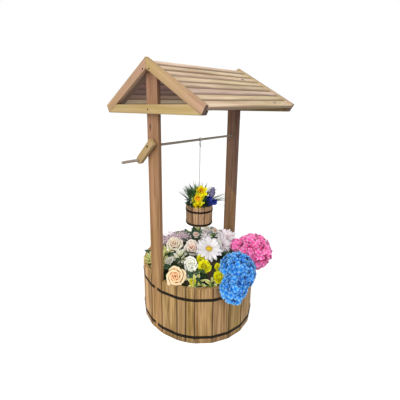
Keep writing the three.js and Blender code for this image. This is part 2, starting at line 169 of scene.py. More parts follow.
def cord_shape(path, across, radius):
    """A cord of three strands along a path. Its radius at an angle is the full radius times
    0.84 + 0.16 |cos 3/2 (angle - turn)|, where the turn grows by a full circle in each lay."""
    run = np.concatenate([[0], np.cumsum(np.linalg.norm(np.diff(path, axis=0), axis=1))])
    angle = np.linspace(0, 2 * np.pi, 18, endpoint=False)
    turn = 2 * np.pi * run[:, None] / rope_lay
    swell = radius * (0.84 + 0.16 * np.abs(np.cos(1.5 * (angle - turn))))
    points = carry(path, across, swell[..., None] * on_circle(angle)).reshape(-1, 3)
    weave = np.stack(np.broadcast_arrays(angle / (2 * np.pi), run[:, None], 0), -1)
    return points, ring_faces(len(path), len(angle)), {"weave": weave.reshape(-1, 3)}


def add(tree, kind, inputs=None, **settings):
    """One node of a material, its settings made and each input given a value or a link. A colour
    is three numbers, and covers fully."""
    node = tree.nodes.new("ShaderNode" + kind)
    for name, value in settings.items():
        setattr(node, name, value)
    for name, value in (inputs or {}).items():
        socket = node.inputs[name]
        if isinstance(value, bpy.types.NodeSocket):
            tree.links.new(value, socket)
        else:
            socket.default_value = (*value, 1) if socket.type == "RGBA" else value
    return node.outputs


def new_material(name, **inputs):
    """A material whose plain shader inputs are set, with its node tree."""
    material = bpy.data.materials.new(name)
    material.use_nodes = True
    skin = material.node_tree.nodes["Principled BSDF"].inputs
    for label, value in inputs.items():
        skin[label.replace("_", " ")].default_value = value
    return material, material.node_tree


def finished(material, colour, relief=None, strength=0.5, depth=0.0004, sunk=False, roughness=None):
    """The material with its colour and, where they are given, its relief and its roughness. The
    relief stands up where it is high, or lies sunk there."""
    tree = material.node_tree
    skin = tree.nodes["Principled BSDF"].inputs
    tree.links.new(colour, skin["Base Color"])
    if roughness is not None:
        tree.links.new(roughness, skin["Roughness"])
    if relief is not None:
        heights = {"Strength": strength, "Distance": depth, "Height": relief}
        tree.links.new(add(tree, "Bump", heights, invert=sunk)[0], skin["Normal"])
    return material


def calc(tree, operation, *values, **settings):
    """A sum on numbers, by the name of its operation."""
    return add(tree, "Math", dict(enumerate(values)), operation=operation, **settings)[0]


def vector_calc(tree, operation, *values):
    """A sum on vectors, by the name of its operation."""
    return add(tree, "VectorMath", dict(enumerate(values)), operation=operation)[0]


def noise(tree, where, scale=1.0, detail=2.0):
    """Soft cloudy noise between 0 and 1, finer with a larger scale."""
    return add(tree, "TexNoise", {"Vector": where, "Scale": scale, "Detail": detail})[0]


def read_layer(tree, name, output="Vector"):
    """A layer of the mesh's points, as a vector or as a number."""
    return add(tree, "Attribute", attribute_name=name)[output]


def mixed(tree, share, first, second, mode="MIX"):
    """Two colours mixed by a share."""
    return add(tree, "Mix", {0: share, 6: first, 7: second}, data_type="RGBA", blend_type=mode)[2]


def spread(tree, value, low, high, start, end):
    """A value's span from low to high laid smoothly over the span from start to end."""
    ends = {"Value": value, "From Min": low, "From Max": high, "To Min": start, "To Max": end}
    return add(tree, "MapRange", ends, interpolation_type="SMOOTHSTEP")[0]


def scaled(tree, vector, scales):
    """A vector multiplied by a scale for each axis."""
    return vector_calc(tree, "MULTIPLY", vector, scales)


def cotton():
    """White cotton: fine yarns wound round the strands, a little grey where they lie deep, as
    painted shade in the hollows of their relief.
    """
    material, tree = new_material("cotton_cord", Roughness=0.92, Sheen_Weight=0.3)
    weave = read_layer(tree, "weave")
    yarns = noise(tree, scaled(tree, weave, (40, 2600, 1)))
    soil = noise(tree, scaled(tree, weave, (2, 60, 1)))
    colour = mixed(tree, yarns, (0.5, 0.49, 0.47), (0.74, 0.73, 0.71))
    colour = mixed(tree, spread(tree, soil, 0.5, 0.8, 0, 0.4), colour, (0.5, 0.48, 0.43))
    return finished(material, colour, yarns, 0.5, 0.0004)


cotton_cord = cotton()
rope_path = np.linspace([rope_place, 0, rope_top], [rope_place, 0, rope_foot], 150)
rope = make_piece("well_rope", cord_shape(rope_path, (1, 0, 0), rope_radius), cotton_cord,
                  "rope_line", ["rope"], 80)
loop_gap = 0.0002
loop_pitch = 0.0042
turn = np.linspace(0.5 * np.pi, 3.5 * np.pi, 60)
wind = rod_radius + rope_radius + loop_gap
loop_path = np.stack([
    rope_place + loop_pitch * (turn / (2 * np.pi) - 1),
    wind * np.cos(turn),
    rod_height + wind * np.sin(turn),
], -1)
make_piece("rope_loop", cord_shape(loop_path, (1, 0, 0), rope_radius), cotton_cord, "windlass",
           (), 80)
knot_top = rope_top - 0.0085
knot_radius = 0.0030
knot_pitch = 0.0039
knot_cord = rope_radius * 0.95
turn = np.linspace(0, 6 * np.pi, 84)
knot_path = np.stack([
    rope_place + knot_radius * np.cos(turn),
    knot_radius * np.sin(turn),
    knot_top - knot_pitch * turn / (2 * np.pi),
], -1)
knot_shape = cord_shape(knot_path, (0, 0, 1), knot_cord)
tail = np.linspace(0, 1, 30)[:, None]
tail_path = knot_path[-1] + np.array([0.0015, -0.001, -0.008]) * tail + [0.001, 0, 0] * tail ** 2
tail_shape = cord_shape(tail_path, (1, 0, 0), knot_cord)
rope_knot = make_piece("rope_knot", join([knot_shape, tail_shape]), cotton_cord,
                       "rope_line", (), 80)
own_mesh(rope)


# The tub is a ring of upright softwood boards, nineteen of one width and two narrow ones, their
# outer edges eased with a plane. Each stands on the ground, the bands round them hold them, and
# six planks between them make the tub's floor.
tub_radius = 0.256
tub_height = 0.254
board_thickness = 0.016
board_seam = 0.0008
board_ease = 0.0024
boards_a_side = 10
post_width = 0.064
post_face = tub_radius * np.cos(np.arcsin(post_width / 2 / tub_radius))
first_seam = np.arcsin((post_width / 2 + board_seam) / (tub_radius - board_thickness))
board_angle = (np.pi - 2 * first_seam) / boards_a_side
along_x, along_y, up = np.eye(3)
clearance = 0.0003  # between pieces that touch
guard = 0.0004  # how far past a rounded edge the next ring of points lies
chance = np.random.default_rng(7)


def eased_outline(corners, radii, inset):
    """A convex outline whose corners are moved in by the inset, along the mean of their two edges,
    and then rounded: each becomes a quadratic curve that begins and ends a radius away from it,
    with one more point a guard's width past each end, so that the flats stay flat."""
    forward = unit(np.roll(corners, -1, 0) - corners)
    arriving = np.roll(forward, 1, 0)
    inward = np.stack([-forward[:, 1], forward[:, 0]], 1)
    before = np.roll(inward, 1, 0)
    share = 1 + np.sum(inward * before, 1, keepdims=True)
    tips = (corners + inset * (inward + before) / share)[:, None]
    reach = np.maximum(radii - inset, 0.2 * radii)[:, None, None]
    t = np.array([0, 1 / 3, 2 / 3, 1])[None, :, None]
    start, end = tips - reach * arriving[:, None], tips + reach * forward[:, None]
    curve = (1 - t) ** 2 * start + 2 * t * (1 - t) * tips + t ** 2 * end
    first, last = start - guard * arriving[:, None], end + guard * forward[:, None]
    return np.concatenate([first, curve, last], 1).reshape(-1, 2)


def slab(corners, radii, low, high, end_radius):
    """A flat-sided board: its eased outline carried from low to high, drawn in by r (1 - sin a)
    at a depth of r (1 - cos a) from each end, for a from 0 to a right angle."""
    corners = np.asarray(corners, float)
    radii = np.broadcast_to(np.asarray(radii, float), (len(corners),))
    following = np.roll(corners, -1, 0)
    if np.sum(corners[:, 0] * following[:, 1] - corners[:, 1] * following[:, 0]) < 0:
        corners, radii = corners[::-1], radii[::-1]
    a = np.radians([0, 30, 60, 90])
    inset = np.concatenate([[end_radius + guard], end_radius * (1 - np.sin(a)), [0]])
    depth = np.concatenate([[0], end_radius * (1 - np.cos(a)), [end_radius + guard]])
    levels = np.concatenate([low + depth, high - depth[::-1]])
    insets = np.concatenate([inset, inset[::-1]])
    rings = np.stack([eased_outline(corners, radii, each) for each in insets])
    around = rings.shape[1]
    points = np.concatenate([rings, np.repeat(levels[:, None, None], around, 1)], -1)
    return points.reshape(-1, 3), ring_faces(len(levels), around)


def grained(shape, across, through, along, tone=0.0, tint=0.0, pith=None):
    """The layers of a sawn board: its place from its middle and half its size along its own three
    directions, its growth rings' place with the pith beside the board, its tone and its tint,
    pink at -1 and yellow at 1. Tone and tint go evenly from one end of the board to the other."""
    points, faces = shape
    local = points @ np.stack([across, through, along]).T
    low, high = local.min(0), local.max(0)
    place = local - (low + high) / 2
    if pith is None:
        pith = [chance.uniform(-0.02, 0.02), chance.choice([-1, 1]) * chance.uniform(0.035, 0.08)]
    shift = np.array([pith[0], pith[1], chance.uniform(0, 9)])
    share = (place[:, 2] - place[:, 2].min()) / np.ptp(place[:, 2])
    tones, tints = np.broadcast_to(tone, 2), np.broadcast_to(tint, 2)
    layers = {
        "place": place,
        "half": np.broadcast_to((high - low) / 2, place.shape).copy(),
        "grain": place + shift,
        "tone": tones[0] + (tones[1] - tones[0]) * share + chance.normal(0, 0.035),
        "tint": tints[0] + (tints[1] - tints[0]) * share,
    }
    return points, faces, layers


ring_width = 0.0075
dark_top_slant = 1.04
dark_top_edge = (0.546, 0.551)


def sawn_wood(name, pale, deep, streaks=1.0, knots=0.3, foot=0.0, seam=0.6, roughness=0.72,
              cut=0.0, painted_lower_shade=0.0, dark_top=None):
    """Sawn softwood. The rings lie round the pith and are bent by slow noise and by the knots;
    long streaks and short fibres run with the grain; the foot is darker, and the edges are
    darker with painted shade in the seams between boards. The sawn ends are darker: end grain,
    deepened with painted shade. On a board that lies level, painted shade darkens the lower
    part, which faces down the slope away from the light, and paints the underside a redder
    shade, most where the tint is pink. Above a slanting hard edge a standing board is darker
    and bluer, most on its front side."""
    material, tree = new_material(name)
    grain = read_layer(tree, "grain")
    place = read_layer(tree, "place")
    half = read_layer(tree, "half")
    tone = read_layer(tree, "tone", "Fac")
    tint = read_layer(tree, "tint", "Fac")
    slow = add(tree, "TexNoise", {"Vector": scaled(tree, grain, (7, 7, 1.6)), "Scale": 1.0})["Color"]
    bend = vector_calc(tree, "SUBTRACT", slow, (0.5, 0.5, 0.5))
    bend = scaled(tree, bend, (0.03, 0.03, 0))
    aside, _, lengthwise = add(tree, "SeparateXYZ", {0: grain})
    cell = add(tree, "CombineXYZ", {0: aside, 1: lengthwise})[0]
    cell = scaled(tree, cell, (11, 5.2, 1))
    spots = add(tree, "TexVoronoi", {"Vector": cell, "Scale": 1.0}, voronoi_dimensions="2D")
    chosen = add(tree, "SeparateXYZ", {0: spots["Color"]})[0]
    chosen = calc(tree, "LESS_THAN", chosen, knots)
    swirl = spread(tree, spots["Distance"], 0.0, 0.42, 0.016, 0.0)
    swirl = calc(tree, "MULTIPLY", swirl, chosen)
    swirl = add(tree, "CombineXYZ", {0: swirl, 1: swirl})[0]
    flat = scaled(tree, grain, (1, 1, 0))
    flat = vector_calc(tree, "ADD", flat, bend)
    flat = vector_calc(tree, "ADD", flat, swirl)
    ring = add(tree, "TexWave", {"Vector": flat, "Scale": 0.314 / ring_width, "Distortion": 0.0},
               wave_type="RINGS", rings_direction="Z", wave_profile="SAW")["Fac"]
    ring = spread(tree, ring, 0.35, 1.0, 0, 1)
    broad = noise(tree, scaled(tree, grain, (120, 120, 2.2)))
    blotch = noise(tree, scaled(tree, grain, (34, 34, 5)))
    fibre = noise(tree, scaled(tree, grain, (800, 800, 18)))
    broad = spread(tree, broad, 0.34, 0.66, 0, 1)
    fibre = spread(tree, fibre, 0.3, 0.7, 0, 1)
    dark = calc(tree, "MULTIPLY", ring, 0.34 * streaks)
    dark = calc(tree, "MULTIPLY_ADD", broad, 0.5 * streaks, dark)
    dark = calc(tree, "MULTIPLY_ADD", fibre, 0.16, dark)
    cloud = spread(tree, blotch, 0.36, 0.66, -0.12 * streaks, 0.3 * streaks)
    dark = calc(tree, "ADD", dark, cloud, use_clamp=True)
    colour = mixed(tree, dark, pale, deep)
    knot = spread(tree, spots["Distance"], 0.05, 0.085, 1, 0)
    knot = calc(tree, "MULTIPLY", knot, chosen)
    umber = tuple(0.42 * part for part in deep)
    colour = mixed(tree, calc(tree, "MULTIPLY", knot, 0.8), colour, umber)
    inside = vector_calc(tree, "ABSOLUTE", place)
    inside = vector_calc(tree, "SUBTRACT", half, inside)
    gap = add(tree, "SeparateXYZ", {0: inside})
    # Painted shade in the seams: darker towards the edges across the board.
    rim = spread(tree, gap[0], 0.0002, 0.0036, seam, 0)
    # Painted shade: the lower part of a level board, and a redder painted shade on its underside.
    if painted_lower_shade:
        fall = vector_calc(tree, "DIVIDE", place, half)
        fall, raised, _ = add(tree, "SeparateXYZ", {0: fall})
        fall = calc(tree, "MULTIPLY_ADD", blotch, 0.9, fall)
        rim = calc(tree, "MAXIMUM", rim, spread(tree, fall, 0.72, 1.12, 0, painted_lower_shade))
        painted_under_colour = (0.66 * deep[0], 0.46 * deep[1], 0.44 * deep[2])
        lowest = spread(tree, raised, -0.9, -0.6, 1, 0)
        under_shade_share = calc(tree, "MULTIPLY", lowest, spread(tree, tint, -0.3, 0.5, 0.82, 0.1))
        colour = mixed(tree, under_shade_share, colour, painted_under_colour)
    colour = mixed(tree, rim, colour, umber)
    # Painted shade deepens the darker end grain of the sawn ends.
    if cut:
        end_shade = tuple(0.4 * part for part in umber)
        colour = mixed(tree, spread(tree, gap[2], 0.0003, 0.0012, cut, 0), colour, end_shade)
    if foot:
        height = add(tree, "SeparateXYZ", {0: add(tree, "TexCoord")["Object"]})[2]
        damp = spread(tree, height, 0.0, 0.045, foot, 0)
        colour = mixed(tree, damp, colour, umber)
    # Darker and bluer above a slanting hard edge, most on the front side.
    if dark_top:
        where = add(tree, "SeparateXYZ", {0: add(tree, "TexCoord")["Object"]})
        line = calc(tree, "MULTIPLY_ADD", where[1], -dark_top_slant, where[2])
        above = spread(tree, line, *dark_top_edge, 0, 1)
        share = calc(tree, "MULTIPLY", above, spread(tree, where[1], -0.022, 0.022, 1, 0.4))
        colour = mixed(tree, share, colour, dark_top, "MULTIPLY")
    shade = calc(tree, "ADD", tone, 1.0)
    tint = calc(tree, "MULTIPLY_ADD", blotch, 1.6, tint)
    hue = calc(tree, "MULTIPLY_ADD", tint, 0.022, 0.4824)
    full = calc(tree, "MULTIPLY_ADD", tint, 0.1, 0.92)
    colour = add(tree, "HueSaturation", {"Hue": hue, "Saturation": full, "Value": shade,
                                         "Color": colour})[0]
    relief = calc(tree, "MULTIPLY_ADD", fibre, 0.6, ring)
    dull = spread(tree, broad, 0, 1, roughness - 0.08, roughness + 0.08)
    return finished(material, colour, relief, 0.3, 0.0004, roughness=dull)


def ring_point(side, angle, distance, offset):
    """A point of the ring of boards: out along the normal of the place at this angle from the
    near post, and an offset along its face. The front side is the one towards the camera."""
    sign = -1 if side == "front" else 1
    x = -distance * np.cos(angle) + offset * np.sin(angle)
    y = sign * (distance * np.sin(angle) + offset * np.cos(angle))
    return [x, y]


def places(side):
    """The label, middle angle and half angle of each board of a side."""
    found = []
    for i in range(boards_a_side):
        start = first_seam + i * board_angle
        if side == "front" and i == 1:
            found.append(("2a", start + board_angle / 4, board_angle / 4))
            found.append(("2b", start + 3 * board_angle / 4, board_angle / 4))
        else:
            found.append((f"{i + 1}", start + board_angle / 2, board_angle / 2))
    return found


board_wood = sawn_wood("tub_board_wood", (0.56, 0.345, 0.148), (0.20, 0.095, 0.031), 1.0, 0.01,
                       foot=0.35, seam=0.9)
board_tones = {"1": -0.02, "2a": -0.08, "2b": 0.05, "3": 0.10, "4": -0.03, "5": -0.08, "6": 0.0,
               "7": -0.06, "8": -0.06}
board_tints = {"1": 0.35, "2a": 0.3, "2b": 0.5, "3": 0.2, "4": -0.1, "5": 0.6, "6": 0.1, "7": 0.5,
               "8": 0.2}
for side in ("front", "back"):
    for label, middle, half_angle in places(side):
        face = tub_radius * np.cos(half_angle)
        seam_half = board_seam / 2 / np.cos(half_angle)
        wide = face * np.tan(half_angle) - seam_half
        inner = face - board_thickness
        narrow = inner * np.tan(half_angle) - seam_half
        corners = [ring_point(side, middle, *spot) for spot in (
            (face, wide), (inner, narrow), (inner, -narrow), (face, -wide))]
        shape = slab(corners, [board_ease, 0.001, 0.001, board_ease], 0, tub_height, 0.0018)
        outward = np.array([*ring_point(side, middle, 1, 0), 0])
        tangent = np.array([*ring_point(side, middle, 0, 1), 0])
        # The back boards, on the tub's left, get a lighter tone: painted light on the side towards the
        # key lamp.
        tone = board_tones.get(label, 0) if side == "front" else 0.32
        tint = board_tints.get(label, 0) if side == "front" else 0.1
        shape = grained(shape, tangent, outward, up, tone, tint)
        make_piece(f"board_{side}_{label}", shape, board_wood, "planter",
                   [f"stave_{side}_{label}"])

floor_wood = sawn_wood("floor_wood", (0.38, 0.22, 0.11), (0.16, 0.08, 0.035), knots=0.2)
floor_radius = tub_radius * np.cos(board_angle / 2) - board_thickness - clearance
floor_plank = floor_radius / 3
floor_thickness = 0.016
plank_gap = 0.0012
shortest_half = 0.02
edge = np.linspace(-1, 1, 9)
for i in range(6):
    low = -floor_radius + i * floor_plank + plank_gap / 2
    high = -floor_radius + (i + 1) * floor_plank - plank_gap / 2
    y = low + (high - low) * (edge + 1) / 2
    x = np.sqrt(np.maximum(floor_radius ** 2 - y ** 2, shortest_half ** 2))
    corners = np.concatenate([np.stack([x, y], 1), np.stack([-x, y], 1)[::-1]])
    shape = slab(corners, 0.0006, 0, floor_thickness, 0.001)
    shape = grained(shape, along_y, up, along_x)
    make_piece(f"floor_plank_{i + 1}", shape, floor_wood, "planter",
               ["tub_floor"] if i == 0 else ())


# Two posts stand on the ground in the ring, one at each end, and end in a point under the roof.
# They are planed boards of a redder softwood with eased edges, and carry the windlass rod.
ridge_height = 1.120
roof_pitch = np.radians(30.4)
slat_underside = 0.019
post_thickness = 0.016
post_ease = 0.0024


def roof_point(side, down, depth):
    """A point of the roof's end view: from the ridge so far down the slope and so deep square to
    it, below its outer edge."""
    y = down * np.cos(roof_pitch) - depth * np.sin(roof_pitch)
    z = ridge_height - down * np.sin(roof_pitch) - depth * np.cos(roof_pitch)
    return [-y if side == "front" else y, z]


def down_at(out, depth):
    """How far down the slope a depth lies at this distance from the middle plane: the distance
    and the depth times the sine of the pitch, over its cosine."""
    return (out + depth * np.sin(roof_pitch)) / np.cos(roof_pitch)


def lying(shape):
    """A shape drawn in y, z and x, with its points put in the order x, y, z."""
    points, faces = shape
    return points[:, [2, 0, 1]], faces


post_wood = sawn_wood("post_wood", (0.445, 0.234, 0.114), (0.222, 0.102, 0.045), 0.9, 0.3,
                      foot=0.3, seam=0.4)
far_post_wood = sawn_wood("far_post_wood", (0.43, 0.24, 0.125), (0.215, 0.105, 0.05), 0.9, 0.3,
                          foot=0.3, seam=0.4, dark_top=(0.63, 0.63, 0.76))
depth = slat_underside + clearance
half = post_width / 2
post_corners = [
    [-half, 0], [half, 0], roof_point("back", down_at(half, depth), depth),
    roof_point("back", down_at(0, depth), depth), roof_point("front", down_at(half, depth), depth),
]
for name, end, tone, tint, wood in (
    # The near post's tone falls from foot to top: painted shade under the tie and the roof.
    ("post_crank", -1, (0.23, -0.17), (0.8, -0.3), post_wood),
    ("post_far", 1, -0.05, (0.9, -0.6), far_post_wood),
):
    nearer, farther = sorted((end * (post_face - post_thickness), end * post_face))
    shape = lying(slab(post_corners, post_ease, nearer, farther, post_ease))
    make_piece(name + "_board", grained(shape, along_y, along_x, up, tone, tint), wood, "planter",
               [name])


# Four half hoops of black steel band hold the boards, two to a side. Each is bent over the corners
# between the boards, and its ends are nailed on the posts with a gap between the two halves.
hoop_width = 0.012
hoop_thickness = 0.0016
hoop_end_gap = 0.016
hoop_levels = {"upper": 0.205, "lower": 0.031}
bend_half = 0.002
nail_aside = 0.016


def band_section(width, thickness, radius):
    """A flat band's section, lengthwise up and outwards across, with rounded edges."""
    half = width / 2
    corners = np.array([[0, -half], [thickness, -half], [thickness, half], [0, half]])
    return eased_outline(corners, np.full(4, radius), 0)[:, ::-1][::-1]


def black_steel():
    """Band steel under thin black paint: blotched, duller and browner in places, worn by noise."""
    material, tree = new_material("black_band", Roughness=0.6, Specular_IOR_Level=0.1)
    where = add(tree, "TexCoord")["Object"]
    blotch = noise(tree, where, 55.0, 3.0)
    fine = noise(tree, where, 700.0)
    colour = mixed(tree, spread(tree, blotch, 0.45, 0.75, 0, 1),
                   (0.011, 0.008, 0.0045), (0.032, 0.021, 0.011))
    dull = spread(tree, fine, 0.2, 0.8, 0.5, 0.75)
    return finished(material, colour, fine, 0.25, 0.0003, roughness=dull)


def ring_round(axis, turn, beside=(0.31, 0.53, 0.79)):
    """An axis as a unit vector, and the directions square to it at the given turns about it. The
    turns are counted from the axis crossed with a direction beside it."""
    axis = unit(np.asarray(axis, float))
    first = unit(np.cross(axis, beside))
    second = np.cross(axis, first)
    return axis, np.cos(turn)[..., None] * first + np.sin(turn)[..., None] * second


def domes(centres, axis, radius, height):
    """Low nail heads: rings of radius r cos a at a height h sin a above a flat foot."""
    a = np.radians([0, 0, 35, 65, 85])
    axis, ring = ring_round(axis, np.linspace(0, 2 * np.pi, 12, endpoint=False))
    rise = height * np.sin(a) - np.array([0.001, 0, 0, 0, 0])
    one = radius * np.cos(a)[:, None, None] * ring + rise[:, None, None] * axis
    one = one.reshape(-1, 3)
    return join([(one + centre, ring_faces(5, 12), {}) for centre in np.asarray(centres)])


band_steel = black_steel()
for side in ("front", "back"):
    faces = [(0.0, post_face)]
    faces += [(middle, tub_radius * np.cos(angle)) for _, middle, angle in places(side)]
    faces += [(np.pi, post_face)]
    line = [ring_point(side, 0, post_face + clearance, hoop_end_gap / 2)]
    for (one, a), (two, b) in zip(faces[:-1], faces[1:]):
        a, b, turned_by = a + clearance, b + clearance, two - one
        leaves_one = (b - a * np.cos(turned_by)) / np.sin(turned_by)
        reaches_two = (a - b * np.cos(turned_by)) / np.sin(turned_by)
        line += [ring_point(side, one, a, leaves_one - bend_half),
                 ring_point(side, two, b, bend_half - reaches_two)]
    line += [ring_point(side, np.pi, post_face + clearance, -hoop_end_gap / 2)]
    line = np.array(line)
    for level, height in hoop_levels.items():
        path = np.column_stack([line, np.full(len(line), height)])
        section = band_section(hoop_width, hoop_thickness, 0.0005)
        points = carry(path, (0, 0, 1), section if side == "front" else section * [1, -1])
        quads = ring_faces(len(path), points.shape[1])
        if side == "back":
            quads = [group[:, ::-1] for group in quads]
        make_piece(f"band_{level}_{side}", (points.reshape(-1, 3), quads, {}), band_steel,
                   "planter", [f"hoop_{level}_{side}"], 30)
band_face = post_face + clearance + hoop_thickness
for name, end in (("band_nails_crank", -1), ("band_nails_far", 1)):
    heads = [(end * band_face, y, z) for y in (-nail_aside, nail_aside) for z in hoop_levels.values()]
    make_piece(name, domes(heads, (end, 0, 0), 0.0028, 0.0011), band_steel, "planter")


# Each gable is two sloping boards mitred at the ridge and a level tie between their feet, nailed
# to the post. A packing behind each sloping board and a ledge beside the post carry the slats.
barge_length = 0.323
barge_depth = 0.034
gable_thickness = 0.014
ledge_width = 0.018
ledge_setback = 0.026
tie_depth = 0.033
packing_face = post_face + clearance
packing_thickness = 0.010
gable_face = post_face + packing_thickness
gable_nails = ((-0.0055, 0.942), (-0.019, 1.0785), (0.017, 1.0807))
barge_wood = sawn_wood("barge_wood", (0.54, 0.345, 0.18), (0.36, 0.205, 0.10), 0.8, 0.12, seam=0.1,
                       roughness=0.62, cut=0.9)
far_wood = sawn_wood("far_gable_wood", (0.62, 0.47, 0.29), (0.42, 0.28, 0.16), 0.8, 0.12, seam=0.35,
                     roughness=0.62, cut=0.9)
tie_wood = sawn_wood("tie_wood", (0.55, 0.405, 0.175), (0.40, 0.26, 0.095), 0.8, 0.12, seam=0.35,
                     roughness=0.62, cut=0.7)
ledge_wood = sawn_wood("ledge_wood", (0.30, 0.18, 0.11), (0.16, 0.085, 0.05), 0.8, 0.1, seam=0.2,
                       cut=0.8)


def slope_ways(side):
    """The direction down a slope of the roof, and the one that stands square on it."""
    sign = -1 if side == "front" else 1
    down = np.array([0, sign * np.cos(roof_pitch), -np.sin(roof_pitch)])
    square = np.array([0, sign * np.sin(roof_pitch), np.cos(roof_pitch)])
    return down, square


def slope_board(side, start, finish, top, ends, edge, end_radius):
    """A board along a slope between two depths, cut upright at a distance from the middle plane
    and square at its foot, and lying between two places along the rod."""
    corners = [roof_point(side, down_at(start, top), top), roof_point(side, finish, top),
               roof_point(side, finish, barge_depth),
               roof_point(side, down_at(start, barge_depth), barge_depth)]
    return lying(slab(corners, edge, *sorted(ends), end_radius))


def out_at(height, depth):
    """How far from the middle plane a depth below the slope lies at a height: roof_point solved
    for its height."""
    down = (ridge_height - height - depth * np.cos(roof_pitch)) / np.sin(roof_pitch)
    return down * np.cos(roof_pitch) - depth * np.sin(roof_pitch)


tie_foot = roof_point("back", barge_length, barge_depth)[1]
tie_top = tie_foot + tie_depth
tie_low, tie_high = (out_at(height, barge_depth + clearance) for height in (tie_foot, tie_top))
tie_corners = [[-tie_low, tie_foot], [tie_low, tie_foot], [tie_high, tie_top], [-tie_high, tie_top]]
barge_tints = {"front": (0.9, -0.5), "back": (-0.6, 0.1)}
for gable, end, wood, barge_tone, tie_tone in (
    # The far tie's low tone is painted shade under the roof.
    ("crank", -1, barge_wood, -0.08, 0.0), ("far", 1, far_wood, 0.0, -0.4),
):
    inner, outer = end * gable_face, end * (gable_face + gable_thickness)
    for side in ("front", "back"):
        down, square = slope_ways(side)
        shape = slope_board(side, clearance / 2, barge_length, 0, (inner, outer), 0.0012, 0.0016)
        shape = grained(shape, square, along_x, down, barge_tone, barge_tints[side])
        make_piece(f"barge_board_{gable}_{side}", shape, wood, "planter",
                   [f"barge_{gable}_{side}"])
        for part, start, finish, inside, outside in (
            ("packing", clearance / 2, barge_length, packing_face, gable_face),
            ("ledge", post_width / 2 + clearance, barge_length - ledge_setback,
             post_face - ledge_width, packing_face),
        ):
            shape = slope_board(side, start, finish, slat_underside + clearance,
                                (end * inside, end * outside), 0.0008, 0.0006)
            make_piece(f"barge_{part}_{gable}_{side}", grained(shape, square, along_x, down),
                       ledge_wood, "planter")
    shape = lying(slab(tie_corners, 0.0009, *sorted((end * packing_face, outer)), 0.0016))
    make_piece(f"tie_board_{gable}", grained(shape, up, along_x, along_y, tie_tone), tie_wood,
               "planter", [f"tie_{gable}"])
    heads = domes([(outer, y, z) for y, z in gable_nails], (end, 0, 0), 0.0034, 0.0004)
    make_piece(f"gable_nails_{gable}", heads, band_steel, "planter")


# Eight slats lie across each slope from gable to gable, on the packings and the ledges. They are
# pale softwood with well rounded edges, laid almost side by side, the top pair just touching.
slats_a_slope = 8
slat_drop = 0.005
slat_gap = 0.0025
slat_round = 0.006
slat_reach = gable_face - clearance
slat_lee = 0.009
eave_round = 0.004
under_edge = 0.0012
# The slat wood carries strong painted shade on its lower edges and undersides; the eave wood is a copy
# with only a little.
slat_wood, eave_wood = (
    sawn_wood(name, (0.77, 0.60, 0.405), (0.42, 0.26, 0.16), 0.8, 0.12, seam=0.8, roughness=0.68,
              painted_lower_shade=painted_lower_shade) for name, painted_lower_shade in (("slat_wood", 0.7), ("eave_wood", 0.1)))
slat_tones = {"front": [0.0, 0.02, -0.02, 0.03, 0.0, -0.10, 0.06, 0.02],
              "back": [0.0, -0.06, -0.10, -0.02, -0.16, 0.02, 0.14, 0.10]}
slat_tints = {"front": [-0.3, 0.3, 0.0, 0.5, 0.1, -0.8, 0.6, 0.3],
              "back": [-0.4, -0.7, -0.3, -0.9, -0.6, 0.0, 0.6, 0.4]}
slat_start = down_at(0.0005, slat_underside)
slat_pitch = (barge_length - slat_start + slat_gap) / slats_a_slope
for side in ("front", "back"):
    down, square = slope_ways(side)
    for i in range(slats_a_slope):
        upper = slat_start + i * slat_pitch
        lower = upper + slat_pitch - slat_gap
        corners = [roof_point(side, *spot) for spot in (
            (lower, slat_underside), (lower, slat_drop), (upper, slat_drop), (upper, slat_underside))]
        eave = i == slats_a_slope - 1
        radii = [eave_round, slat_round] if eave else [under_edge, slat_lee]
        shape = lying(slab(corners, radii + [slat_round, under_edge], -slat_reach, slat_reach, 0.001))
        tint = slat_tints[side][i]
        shape = grained(shape, down, square, along_x, slat_tones[side][i], (tint - 0.3, tint + 0.3))
        make_piece(f"roof_slat_{side}_{i + 1}", shape, eave_wood if eave else slat_wood, "planter",
                   [f"slat_{side}_{i + 1}"])


# The windlass is a dowel that turns in the two posts, with a short crank arm pushed on its near
# end and a dowel handle in the arm. The arm is screwed to the rod; all three turn together.
arm_gap = 0.006
arm_thickness = 0.016
arm_face = -(post_face + arm_gap)
arm_outer = arm_face - arm_thickness
socket_depth = 0.0097
arm_angle = np.radians(46)
arm_reach = 0.087
handle_radius = 0.0055
handle_length = 0.076
handle_tip = arm_outer - handle_length


def dowel(first, last, radius, y, z, soft):
    """A round bar along X. Its radius at a distance d from an end is drawn in to the quarter
    circle of the given softness."""
    run = np.radians([0, 25, 50, 70, 90])
    nearer = first + soft * (1 - np.cos(run))
    farther = last - soft * (1 - np.cos(run[::-1]))
    ends = radius - soft * (1 - np.sin(run))
    middle = np.linspace(first + 2 * soft, last - 2 * soft, 12)
    x = np.concatenate([nearer, middle, farther])
    wide = np.concatenate([ends, np.full(12, radius), ends[::-1]])
    angle = np.linspace(0, 2 * np.pi, 28, endpoint=False)
    outline = wide[:, None, None] * on_circle(angle)
    path = np.stack([x, np.full_like(x, y), np.full_like(x, z)], -1)
    return carry(path, (0, 1, 0), outline).reshape(-1, 3), ring_faces(len(x), 28)


dowel_wood = sawn_wood("dowel_wood", (0.34, 0.285, 0.23), (0.20, 0.155, 0.115), 0.7, 0.0, seam=0.0,
                       roughness=0.6)
rod_end = post_face - 0.001
shape = dowel(arm_face - socket_depth, rod_end, rod_radius, 0, rod_height, 0.0008)
make_piece("windlass_dowel", grained(shape, along_y, up, along_x, pith=(0.02, 0.03)), dowel_wood,
           "windlass", ["windlass_rod"])
handle_y = arm_reach * np.sin(arm_angle)
handle_z = rod_height - arm_reach * np.cos(arm_angle)
shape = dowel(handle_tip, arm_outer + socket_depth, handle_radius, handle_y, handle_z, 0.0028)
make_piece("handle_dowel", grained(shape, along_y, up, along_x, 0.1, pith=(0.02, 0.03)), dowel_wood,
           "windlass", ["crank_handle"])

